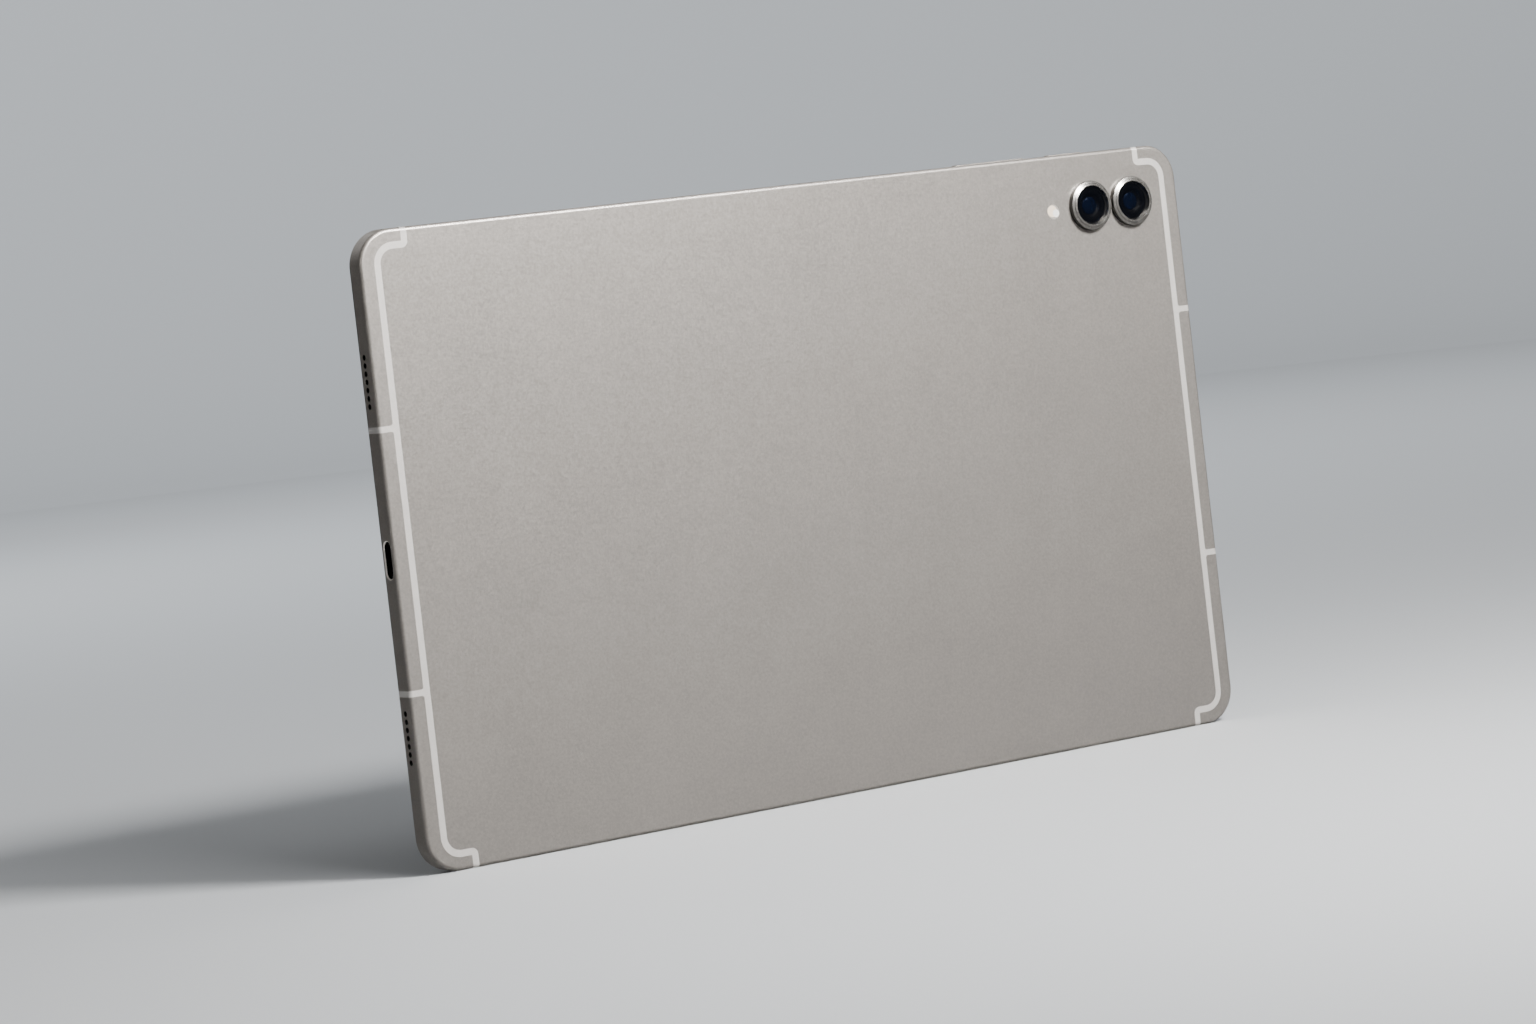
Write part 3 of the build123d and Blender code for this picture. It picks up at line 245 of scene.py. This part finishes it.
# ---------------------------------------------------------------- materials of the outside
BODY_COLOUR = (0.50, 0.470, 0.437)
BODY_METALLIC = 0.8
# Painted shade: near black inside the speaker holes and the port's throat
HOLE_SHADE_COLOUR = (0.012, 0.011, 0.010)
# Painted highlight on the port's real cut chamfer: a pale, barely metallic finish so it shows as a glint
CUT_GLINT_COLOUR = (0.92, 0.86, 0.80)
CUT_ROUGHNESS = 0.4
CUT_METALLIC = 0.2
SPEAKER_REACH = 45.65 * MM
GRILLE_HALF = 7.1 * MM
GRILLE_REACH = 0.8 * MM
FACE_SKIN = 0.005 * MM
PORT_STRAIGHT = 3.1 * MM
PORT_REACH = 2.0 * MM
PORT_CUT = 0.27 * MM
RING_CUT_RADIUS = 6.78 * MM
# Painted shade: a dark line round each camera ring at this radius
RING_GROOVE_RADIUS = 6.15 * MM
RING_GROOVE_HALF = 0.1 * MM
GROOVE_SHADE_DARKNESS = 0.85
RING_CUT_BLUR = 0.08 * MM


def opening_masks(recipe):
    """Masks on the side walls' openings: 1 where shade is painted dark inside the speaker holes and the
    port's throat, and 1 on the port's cut rim, which is painted pale as a highlight.
    """
    meshes, port = centre_of("speaker_meshes"), centre_of("usb_receptacle_shell")
    x, y, z = recipe.split(recipe.point)
    deep = recipe.maths("SUBTRACT", RIGHT_X, recipe.maths("ABSOLUTE", x))
    up = recipe.maths("SUBTRACT", z, port.z)
    off_middle = recipe.maths("ABSOLUTE", up)
    from_row = recipe.maths("ABSOLUTE", recipe.maths("SUBTRACT", off_middle, SPEAKER_REACH))
    in_row = recipe.maths("LESS_THAN", from_row, GRILLE_HALF)
    aside = recipe.maths("ABSOLUTE", recipe.maths("SUBTRACT", y, meshes.y))
    in_row = recipe.maths("MULTIPLY", in_row, recipe.maths("LESS_THAN", aside, GRILLE_REACH))
    # Painted shade inside the speaker holes, deeper than the wall's outer skin
    shaded_holes = recipe.maths("MULTIPLY", in_row, recipe.maths("GREATER_THAN", deep, FACE_SKIN))
    over = recipe.maths("MAXIMUM", recipe.maths("SUBTRACT", off_middle, PORT_STRAIGHT), 0.0)
    reach = recipe.span(over, recipe.maths("SUBTRACT", y, port.y))
    on_left = recipe.maths("LESS_THAN", x, 0.0)
    near_port = recipe.maths("MULTIPLY", on_left, recipe.maths("LESS_THAN", reach, PORT_REACH))
    # Painted shade in the port's throat, past its cut rim
    shaded_throat = recipe.maths("MULTIPLY", near_port, recipe.maths("GREATER_THAN", deep, PORT_CUT))
    # The port's cut rim, where a highlight is painted
    rim = recipe.maths("MULTIPLY", near_port, recipe.maths("LESS_THAN", deep, PORT_CUT))
    return recipe.maths("MAXIMUM", shaded_holes, shaded_throat), rim


def blasted_aluminium(name, colour=BODY_COLOUR):
    """Bead-blasted, anodised aluminium: a fine even grain with a slight cloudiness, with painted shade
    inside the side walls' openings and a painted highlight on the port's cut rim.
    """
    recipe = Recipe(name, colour, 0.42, BODY_METALLIC)
    pits = recipe.noise(0.28 * MM, 2.0)
    grain = recipe.noise(0.6 * MM, 3.0)
    cloud = recipe.noise(22 * MM, 2.0)
    tone = recipe.blend(grain, cloud, 0.75)
    blasted = recipe.varied(colour, 0.10, recipe.swing(tone, 0.0, 1.0))
    # Shade painted inside the holes and the port's throat, and a highlight painted on the port's cut rim
    dark, rim = opening_masks(recipe)
    # Painted highlight: the port's cut rim turned pale and less metallic
    cut = recipe.mixed(rim, blasted, CUT_GLINT_COLOUR)
    recipe.feed("Base Color", recipe.mixed(dark, cut, HOLE_SHADE_COLOUR))
    even = recipe.mapped(grain, 0.25, 0.75, 0.38, 0.46)
    recipe.feed("Roughness", recipe.mixed_value(rim, even, CUT_ROUGHNESS))
    recipe.feed("Metallic", recipe.mixed_value(rim, BODY_METALLIC, CUT_METALLIC))
    relief = recipe.bump(pits, 0.012 * MM)
    recipe.feed("Normal", recipe.bump(grain, 0.016 * MM, relief))
    return recipe


def band_plastic():
    """Moulded band with a metallic lacquer, blasted together with the metal but paler."""
    colour = (0.78, 0.75, 0.715)
    recipe = Recipe("band_plastic", colour, 0.5, 0.5)
    grain = recipe.noise(0.8 * MM, 3.0)
    recipe.feed("Base Color", recipe.varied(colour, 0.05, grain))
    recipe.feed("Roughness", recipe.mapped(grain, 0.25, 0.75, 0.46, 0.56))
    recipe.feed("Normal", recipe.bump(recipe.noise(0.3 * MM, 2.0), 0.008 * MM))
    return recipe


def turned_steel(name, centre):
    """Dark plated steel with a bright cut rim, a painted line of shade where a groove parts its two light
    bands, and fine turning lines round one axis.
    """
    colour = (0.47, 0.457, 0.433)
    plated, shade = (0.06, 0.058, 0.055), (0.10, 0.098, 0.095)
    recipe = Recipe(name, colour, 0.25, 0.86)
    x, _, z = recipe.split(recipe.place(origin=centre))
    radius = recipe.span(x, z)
    stack = recipe.tree.nodes.new("ShaderNodeCombineXYZ")
    recipe.put(stack, 0, radius)
    lines = recipe.noise(0.08 * MM, 2.0, stack.outputs[0])
    smudge = recipe.noise(2 * MM, 2.0)
    cut_end = RING_CUT_RADIUS + RING_CUT_BLUR
    plating = recipe.mapped(radius, RING_CUT_RADIUS, cut_end, 0.0, 1.0, smooth=True)
    # Painted shade: a dark line at the groove's radius, between the ring's two light bands
    from_groove = recipe.maths("ABSOLUTE", recipe.maths("SUBTRACT", radius, RING_GROOVE_RADIUS))
    inner, outer = RING_GROOVE_HALF * 0.5, RING_GROOVE_HALF * 1.5
    groove = recipe.mapped(from_groove, inner, outer, GROOVE_SHADE_DARKNESS, 0.0, smooth=True)
    bright = recipe.mixed(groove, recipe.varied(colour, 0.06, smudge), shade)
    recipe.feed("Base Color", recipe.mixed(plating, bright, plated))
    worn = recipe.maths("MULTIPLY", lines, smudge)
    recipe.feed("Roughness", recipe.mapped(worn, 0.1, 0.4, 0.24, 0.28))
    recipe.feed("Normal", recipe.bump(lines, 0.0001 * MM))
    return recipe


def shaded_lens_cover_glass():
    """Hard glass made half clear: a near-black layer at alpha 0.45 paints shade over the lens behind,
    with a faint blue anti-reflection coating and a few specks of dust.
    """
    recipe = Recipe("shaded_lens_cover_glass", (0.001, 0.0015, 0.003), 0.02)
    # Painted shade: the near-black colour, half opaque, darkens the lens and barrel behind the glass
    recipe.fixed("Alpha", 0.45)
    recipe.fixed("IOR", 1.5)
    recipe.fixed("Specular Tint", (0.72, 0.82, 1.0, 1.0))
    recipe.feed("Roughness", recipe.mapped(recipe.noise(1.2 * MM, 3.0), 0.5, 0.8, 0.01, 0.05))
    return recipe


def coated_lens(name, tint):
    """A lens element whose coating reflects one tint more than the others, with a blue reflection of that
    coating painted into its colour where it faces the viewer, near black towards its edges.
    """
    recipe = Recipe(name, (0.004, 0.006, 0.012), 0.04)
    recipe.fixed("IOR", 1.75)
    recipe.fixed("Specular Tint", (*tint, 1.0))
    recipe.fixed("Coat Weight", 0.6)
    recipe.fixed("Coat Roughness", 0.02)
    recipe.feed("Roughness", recipe.mapped(recipe.noise(0.6 * MM, 2.0), 0.4, 0.7, 0.03, 0.07))
    painted_glow_facing = recipe.tree.nodes.new("ShaderNodeLayerWeight")
    recipe.put(painted_glow_facing, "Blend", 0.35)
    # Painted reflection: blue where the element faces the viewer, near black at grazing angles
    glow, edge = (0.010, 0.022, 0.075), (0.001, 0.001, 0.003)
    recipe.feed("Base Color", recipe.mixed(painted_glow_facing.outputs["Facing"], glow, edge))
    return recipe


def flash_window():
    """Frosted flash window: warm over its larger emitter, white over the smaller one, grey round them."""
    centre = centre_of("flash_lens")
    recipe = Recipe("flash_window", (0.86, 0.80, 0.70), 0.32)
    x, _, z = recipe.split(recipe.place(origin=centre))
    base = (0.36, 0.34, 0.31)
    warm_emitter = (-0.35 * MM, 0.2 * MM, 1.8 * MM, (1.0, 0.83, 0.64))
    white_emitter = (0.85 * MM, -0.45 * MM, 1.2 * MM, (1.0, 0.99, 0.96))
    for across, up, radius, glow in (warm_emitter, white_emitter):
        away = recipe.span(recipe.maths("SUBTRACT", x, across), recipe.maths("SUBTRACT", z, up))
        base = recipe.mixed(recipe.mapped(away, radius * 0.82, radius, 1.0, 0.0, smooth=True), base, glow)
    recipe.feed("Base Color", base)
    stack = recipe.tree.nodes.new("ShaderNodeCombineXYZ")
    recipe.put(stack, 0, recipe.span(x, z))
    ridges = recipe.waves(0.35 * MM, stack.outputs[0])
    recipe.feed("Normal", recipe.bump(ridges, 0.03 * MM))
    recipe.feed("Roughness", recipe.swing(recipe.noise(0.5 * MM), 0.26, 0.4))
    recipe.fixed("Coat Weight", 0.7)
    recipe.fixed("Coat Roughness", 0.08)
    return recipe


def screen_glass():
    """The unlit screen: glossy black, with a printed border a shade darker than the picture area."""
    recipe = Recipe("screen_glass", (0.006, 0.006, 0.008), 0.05)
    recipe.fixed("Coat Weight", 1.0)
    recipe.fixed("Coat Roughness", 0.015)
    mask_low, mask_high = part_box("optical_adhesive")
    x, _, z = recipe.split(recipe.place(origin=(mask_low + mask_high) / 2))
    corner, blur = 3.0 * MM, 0.05 * MM
    half = (mask_high - mask_low) / 2
    over_x = recipe.maths("SUBTRACT", recipe.maths("ABSOLUTE", x), half.x - corner)
    over_z = recipe.maths("SUBTRACT", recipe.maths("ABSOLUTE", z), half.z - corner)
    distance = recipe.span(recipe.maths("MAXIMUM", over_x, 0.0), recipe.maths("MAXIMUM", over_z, 0.0))
    picture = recipe.mapped(distance, corner - blur, corner + blur, 1.0, 0.0)
    border_colour, picture_colour = (0.0025, 0.0025, 0.003), (0.018, 0.018, 0.023)
    colour = recipe.mixed(picture, border_colour, picture_colour)
    # Front camera behind the border: a dark blue pupil in a grey collar
    camera = centre_of("front_camera")
    eye_x, _, eye_z = recipe.split(recipe.place(origin=(camera.x, 0, camera.z)))
    reach = recipe.span(eye_x, eye_z)
    collar = recipe.mapped(reach, 1.25 * MM, 1.35 * MM, 1.0, 0.0)
    pupil = recipe.mapped(reach, 0.0, 0.9 * MM, 1.0, 0.0, smooth=True)
    eye = recipe.mixed(pupil, (0.018, 0.018, 0.02), (0.004, 0.012, 0.05))
    recipe.feed("Base Color", recipe.mixed(collar, colour, eye))
    recipe.feed("Roughness", recipe.mapped(recipe.noise(12 * MM, 4.0), 0.45, 0.75, 0.03, 0.09))
    return recipe


def gold_plate():
    """Gold plating, slightly rubbed."""
    return rolled("gold_plate", (0.78, 0.57, 0.24), 0.22, along=(0, 0, 1))


# ---------------------------------------------------------------- materials of the inside
def flex_film():
    """Amber flat cable: copper lines show through the film."""
    recipe = Recipe("flex_film", (0.32, 0.13, 0.02), 0.3)
    lines = recipe.waves(0.5 * MM, recipe.point, "DIAGONAL")
    copper = recipe.mapped(lines, 0.45, 0.55, 0.0, 1.0)
    cloudy = recipe.noise(2 * MM, 2.0)
    base = recipe.mixed(copper, (0.20, 0.075, 0.012), (0.42, 0.19, 0.045))
    haze = recipe.mapped(cloudy, 0.4, 0.7, 0.0, 0.35)
    recipe.feed("Base Color", recipe.mixed(haze, base, (0.26, 0.10, 0.02)))
    recipe.feed("Roughness", recipe.swing(cloudy, 0.22, 0.36))
    recipe.feed("Normal", recipe.bump(copper, 0.01 * MM))
    recipe.fixed("Coat Weight", 0.4)
    return recipe


def board_laminate():
    """Solder mask over a laminate: darker fields between slightly raised copper runs."""
    recipe = Recipe("board_laminate", (0.012, 0.05, 0.035), 0.35)
    runs = recipe.waves(0.7 * MM, recipe.point, "X", 2.0)
    rows = recipe.waves(0.9 * MM, recipe.point, "Z", 2.0)
    field = recipe.mapped(recipe.cells(6 * MM), 0.35, 0.4, 0.0, 1.0)
    copper = recipe.maths("GREATER_THAN", recipe.mixed_value(field, runs, rows), 0.6)
    recipe.feed("Base Color", recipe.mixed(copper, (0.008, 0.036, 0.024), (0.018, 0.085, 0.052)))
    recipe.feed("Roughness", recipe.swing(recipe.noise(2 * MM), 0.28, 0.42))
    recipe.feed("Normal", recipe.bump(copper, 0.02 * MM))
    return recipe


def woven_mesh():
    """Fine black acoustic mesh: two sets of wires that cross."""
    recipe = Recipe("woven_mesh", (0.03, 0.03, 0.032), 0.4, 0.8)
    warp = recipe.waves(0.16 * MM, recipe.point, "Y")
    weft = recipe.waves(0.16 * MM, recipe.point, "Z")
    weave = recipe.maths("MULTIPLY", warp, weft)
    recipe.feed("Base Color", recipe.mixed(weave, (0.002, 0.002, 0.002), (0.075, 0.073, 0.07)))
    recipe.feed("Roughness", recipe.mapped(weave, 0.0, 1.0, 0.6, 0.35))
    recipe.feed("Normal", recipe.bump(weave, 0.04 * MM))
    return recipe


def battery_wrap():
    """Black laminate pouch: faint creases and a slight sheen."""
    colour = (0.022, 0.022, 0.025)
    recipe = Recipe("battery_wrap", colour, 0.42)
    crease = recipe.noise(12 * MM, 5.0, roughness=0.65)
    recipe.feed("Base Color", recipe.varied(colour, 0.25, crease))
    recipe.feed("Roughness", recipe.swing(crease, 0.34, 0.52))
    recipe.feed("Normal", recipe.bump(crease, 0.12 * MM))
    return recipe


def graphite_foil():
    """Graphite foil under a thin film."""
    colour = (0.05, 0.05, 0.053)
    recipe = plain("graphite_foil", colour, 0.38, 0.4, grain=0.2 * MM, mottle=8 * MM, spread=0.2)
    recipe.fixed("Coat Weight", 0.3)
    return recipe


def inside_materials():
    """Materials of the pieces that the closed tablet hides, by the record's slot."""
    return {
        "frame_magnesium": plain(
            "cast_magnesium", (0.20, 0.205, 0.21), 0.55, 0.9, grain=0.6 * MM, spread=0.12
        ),
        "screw_steel": rolled("plated_screw_steel", (0.46, 0.46, 0.48), 0.3),
        "bezel_ink": plain("bezel_ink", (0.004, 0.004, 0.005), 0.45, spread=0.2),
        "clear_adhesive": plain("clear_adhesive", (0.55, 0.56, 0.56), 0.12, spread=0.03),
        "display_panel": plain("display_panel", (0.009, 0.009, 0.012), 0.16, grain=0.1 * MM, spread=0.3),
        "dark_film": plain("dark_film", (0.02, 0.02, 0.021), 0.5, spread=0.15),
        "spring_steel": rolled("rolled_spring_steel", (0.42, 0.42, 0.43), 0.34),
        "black_foam": plain(
            "black_foam", (0.012, 0.012, 0.012), 0.9, grain=0.2 * MM, spread=0.3, depth=0.08 * MM
        ),
        "flex_film": flex_film(),
        "battery_pouch": battery_wrap(),
        "board_laminate": board_laminate(),
        "tinned_steel": rolled("tinned_steel", (0.56, 0.56, 0.55), 0.26),
        "chip_resin": plain("chip_resin", (0.016, 0.016, 0.017), 0.6, grain=0.15 * MM, spread=0.2),
        "graphite": graphite_foil(),
        "reader_plastic": plain("reader_plastic", (0.014, 0.014, 0.015), 0.5, spread=0.15),
        "magnet_nickel": plain("magnet_nickel", (0.50, 0.49, 0.46), 0.22, 1.0, spread=0.05),
        "speaker_plastic": plain("speaker_plastic", (0.017, 0.017, 0.019), 0.55, spread=0.15),
        "flash_led": plain("led_phosphor", (0.80, 0.62, 0.16), 0.6, grain=0.08 * MM, spread=0.15),
    }


def outside_materials():
    """Materials of the pieces that show, by the record's slot."""
    return {
        "body_aluminium": blasted_aluminium("body_aluminium"),
        "key_aluminium": blasted_aluminium("key_aluminium", tuple(c * 0.94 for c in BODY_COLOUR)),
        "band_plastic": band_plastic(),
        "cover_glass": screen_glass(),
        "lens_glass": shaded_lens_cover_glass(),
        "camera_black": plain(
            "black_anodised", (0.004, 0.004, 0.005), 0.5, 0.3, grain=0.15 * MM, spread=0.2
        ),
        "flash_lens": flash_window(),
        # Painted shade: the port's steel shell is darkened so the inside of the port reads dark
        "port_steel": rolled("shade_darkened_port_steel", (0.10, 0.098, 0.095), 0.3, along=(1, 0, 0)),
        "port_plastic": plain("port_plastic", (0.012, 0.012, 0.013), 0.5, spread=0.15),
        "mesh_steel": woven_mesh(),
        "contact_gold": gold_plate(),
    }


def dress_nodes():
    """Gives every CAD node the material of its slot in the record."""
    finishes = {**inside_materials(), **outside_materials()}
    slots = {part["node"]: part["material_slot"] for part in frame["record"]["subparts"]}
    for node, obj in frame["nodes"].items():
        if slots[node] == "ring_steel":
            material = turned_steel(f"{node}_steel", centre_of(node)).material
        else:
            material = finishes[slots[node]].material
        obj.data.materials.clear()
        obj.data.materials.append(material)
    return finishes


# ---------------------------------------------------------------- pieces made here
def add_mesh(name, builder, material, smooth=True):
    """A mesh piece that rides on the tablet's body."""
    mesh = bpy.data.meshes.new(name)
    builder.to_mesh(mesh)
    builder.free()
    for polygon in mesh.polygons:
        polygon.use_smooth = smooth
    piece = bpy.data.objects.new(name, mesh)
    bpy.context.scene.collection.objects.link(piece)
    mesh.materials.append(material)
    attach(piece, BODY)
    return piece


def lathe(profile, centre, steps=96):
    """Turns a closed profile of (radius, y) points round a front-to-back axis through a centre."""
    builder = bmesh.new()
    rings = []
    for step in range(steps):
        angle = 2 * math.pi * step / steps
        spoke = Vector((math.cos(angle), 0, math.sin(angle)))
        rings.append(
            [builder.verts.new(Vector((centre.x, y, centre.z)) + spoke * radius) for radius, y in profile]
        )
    for this, following in zip(rings, rings[1:] + rings[:1]):
        for index in range(len(profile)):
            after = (index + 1) % len(profile)
            builder.faces.new((this[index], this[after], following[after], following[index]))
    bmesh.ops.recalc_face_normals(builder, faces=builder.faces)
    return builder


def lens_baffle(position, material):
    """Fine steps that trap stray light in the mouth of a lens barrel."""
    centre = centre_of(f"camera_ring_{position}")
    mouth_y = REAR_Y - 0.9 * MM
    outer, inner = 3.86 * MM, 3.25 * MM
    floor_y = REAR_Y - 0.38 * MM
    lip_y = mouth_y + 0.05 * MM
    count = 6
    run = (outer - inner) / count
    fall = (floor_y - lip_y) / count
    tread = 0.55 * run
    profile = []
    for step in range(count):
        radius = outer - step * run
        y = lip_y + step * fall
        profile += [(radius, y), (radius - tread, y)]
    profile += [(inner, floor_y), (inner, floor_y + 0.01 * MM), (outer, lip_y + 0.03 * MM)]
    builder = lathe(profile, centre)
    return add_mesh(f"lens_baffle_{position}", builder, material, smooth=False)


def lens_element(position, material):
    """The coated front element: a shallow dome over the barrel's own, with a rounded rim."""
    centre = centre_of(f"camera_ring_{position}")
    radius, rise, apex_y = 2.45 * MM, 0.38 * MM, REAR_Y - 0.53 * MM
    back_y, axis_gap = apex_y + rise + 0.04 * MM, 0.0001 * MM
    count = 14
    dome = [(radius * k / count, apex_y + rise * (k / count) ** 2) for k in range(1, count + 1)]
    profile = [(axis_gap, apex_y), *dome, (radius, back_y), (axis_gap, back_y)]
    return add_mesh(f"lens_element_{position}", lathe(profile, centre, 64), material)


def usb_contacts(material):
    """Two facing rows of contact strips on the receptacle's tongue."""
    tongue = centre_of("usb_receptacle_tongue")
    low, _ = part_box("usb_receptacle_tongue")
    pitch, width, thickness, length = 0.5 * MM, 0.26 * MM, 0.03 * MM, 3.4 * MM
    half_tongue, setback, stagger = 0.35 * MM, 0.35 * MM, 0.25 * MM
    count = 12
    builder = bmesh.new()
    for side in (-1, 1):
        for index in range(count):
            z = tongue.z + (index - (count - 1) / 2) * pitch
            start = low.x + setback + (stagger if index % 3 == 1 else 0.0)
            made = bmesh.ops.create_cube(builder, size=1.0)["verts"]
            place = Vector((start + length / 2, tongue.y + side * (half_tongue + thickness / 2), z))
            bmesh.ops.scale(builder, verts=made, vec=(length, thickness, width))
            bmesh.ops.translate(builder, verts=made, vec=place)
            edges = {edge for vert in made for edge in vert.link_edges}
            bmesh.ops.bevel(builder, geom=list(edges), offset=thickness * 0.3, segments=2, affect="EDGES")
    return add_mesh("usb_contacts", builder, material, smooth=False)


# ---------------------------------------------------------------- camera
CAMERA_FROM_CORNER = Vector((-0.5662, -1.0482, -0.0093))
CAMERA_YAW = math.radians(33.22)
CAMERA_PITCH = math.radians(-1.45)
CAMERA_ROLL = math.radians(6.5)
LENS_MM = 109.8
SHIFT_UP = -0.1113


def add_camera():
    """A camera level with the upper edge, to the left of the tablet and behind it, slightly rolled."""
    data = bpy.data.cameras.new("camera")
    data.sensor_width = 36.0
    data.lens = LENS_MM
    data.shift_y = SHIFT_UP
    data.clip_start = 0.05
    data.clip_end = 30.0
    camera = bpy.data.objects.new("camera", data)
    bpy.context.scene.collection.objects.link(camera)
    corner = Vector((LEFT_X, REAR_Y, TOP_Z))
    place = Matrix.Translation(corner + CAMERA_FROM_CORNER)
    turn = Matrix.Rotation(-CAMERA_YAW, 4, "Z")
    tip = Matrix.Rotation(math.radians(90) + CAMERA_PITCH, 4, "X")
    roll = Matrix.Rotation(-CAMERA_ROLL, 4, "Z")
    camera.matrix_world = place @ turn @ tip @ roll
    bpy.context.scene.camera = camera
    return camera


# ---------------------------------------------------------------- floor, backdrop and lights
FLOOR_RADIUS = 2.4
FLOOR_MIDDLE = 0.6
COVE_RADIUS = 0.9
WALL_HEIGHT = 2.6


def paper():
    """Pale, slightly cool studio paper."""
    colour = (0.60, 0.63, 0.66)
    recipe = Recipe("studio_paper", colour, 0.85)
    fibre = recipe.noise(4 * MM, 4.0)
    recipe.feed("Base Color", recipe.varied(colour, 0.015, fibre))
    recipe.feed("Normal", recipe.bump(recipe.noise(1.5 * MM, 3.0), 0.03 * MM))
    recipe.feed("Roughness", recipe.swing(fibre, 0.8, 0.9))
    return recipe.material


def turned_sheet(name, profile, steps=96):
    """An open sheet turned round the upright axis from (radius, height) points, closed at its middle."""
    builder = bmesh.new()
    rings = []
    for step in range(steps):
        angle = 2 * math.pi * step / steps
        spoke = Vector((math.cos(angle), math.sin(angle), 0))
        rings.append(
            [builder.verts.new(spoke * radius + Vector((0, 0, height))) for radius, height in profile]
        )
    for this, following in zip(rings, rings[1:] + rings[:1]):
        for index in range(len(profile) - 1):
            builder.faces.new((this[index], following[index], following[index + 1], this[index + 1]))
    if profile[0][0] < FLOOR_RADIUS:
        builder.faces.new([ring[0] for ring in rings])
    bmesh.ops.recalc_face_normals(builder, faces=builder.faces)
    mesh = bpy.data.meshes.new(name)
    builder.to_mesh(mesh)
    builder.free()
    for polygon in mesh.polygons:
        polygon.use_smooth = True
    sheet = bpy.data.objects.new(name, mesh)
    bpy.context.scene.collection.objects.link(sheet)
    return sheet


def add_studio():
    """A round pale floor that curves up into a wall all round."""
    material = paper()
    floor = turned_sheet("floor", [(FLOOR_MIDDLE, 0.0), (FLOOR_RADIUS, 0.0)])
    cove = [
        (
            FLOOR_RADIUS + COVE_RADIUS * math.sin(math.radians(angle)),
            COVE_RADIUS * (1 - math.cos(math.radians(angle))),
        )
        for angle in range(0, 91, 6)
    ]
    wall = turned_sheet("wall", [*cove, (FLOOR_RADIUS + COVE_RADIUS, WALL_HEIGHT)])
    for sheet in (floor, wall):
        sheet.data.materials.append(material)
    floor.visible_glossy = False
    wall.visible_glossy = False
    wall.visible_diffuse = False
    wall.visible_shadow = False


def add_softbox(name, place, aim, width, height, watts, colour=(1, 1, 1)):
    """A rectangular area light at a place, aimed at a point."""
    data = bpy.data.lights.new(name, "AREA")
    data.shape = "RECTANGLE"
    data.size = width
    data.size_y = height
    data.energy = watts
    data.color = colour
    light = bpy.data.objects.new(name, data)
    bpy.context.scene.collection.objects.link(light)
    light.location = place
    light.rotation_mode = "QUATERNION"
    light.rotation_quaternion = (Vector(aim) - Vector(place)).to_track_quat("-Z", "Y")
    light.visible_camera = False
    return light


def add_lights():
    """A dim warm room, softboxes for both faces and from above, and washes for the side and the wall."""
    world = bpy.data.worlds.new("room")
    world.use_nodes = True
    background = world.node_tree.nodes["Background"]
    background.inputs["Color"].default_value = (1.0, 0.97, 0.94, 1.0)
    background.inputs["Strength"].default_value = 0.08
    bpy.context.scene.world = world
    upper_middle, before_cover, wall_foot = (-0.01, 0.0, 0.17), (0.0, -0.3, 0.0), (0.9, 2.9, 0.7)
    add_softbox("key_softbox", (0.12, -0.40, 0.46), upper_middle, 0.16, 0.1, 6.5, (1.0, 0.975, 0.95))
    add_softbox("fill_softbox", (0.40, -1.60, 1.10), MIDDLE, 1.3, 0.7, 22.0, (1.0, 0.985, 0.97))
    add_softbox("overhead_softbox", (0.0, -0.6, 1.5), before_cover, 0.9, 0.5, 2.0)
    add_softbox("side_strip", (-0.95, -0.62, 0.52), MIDDLE, 0.08, 0.22, 0.5, (1.0, 0.97, 0.94))
    add_softbox("screen_softbox", (0.0, 1.6, 0.7), MIDDLE, 1.0, 0.6, 2.5)
    add_softbox("wall_wash", (0.3, 0.9, 1.9), wall_foot, 2.2, 0.6, 60.0, (0.96, 0.98, 1.0))


# ---------------------------------------------------------------- the scene
add_camera()
add_studio()
add_lights()
finishes = dress_nodes()
coating = coated_lens("lens_coating", (0.25, 0.45, 1.0)).material
for position in ("inner", "outer"):
    lens_baffle(position, finishes["camera_black"].material)
    lens_element(position, coating)
usb_contacts(finishes["contact_gold"].material)
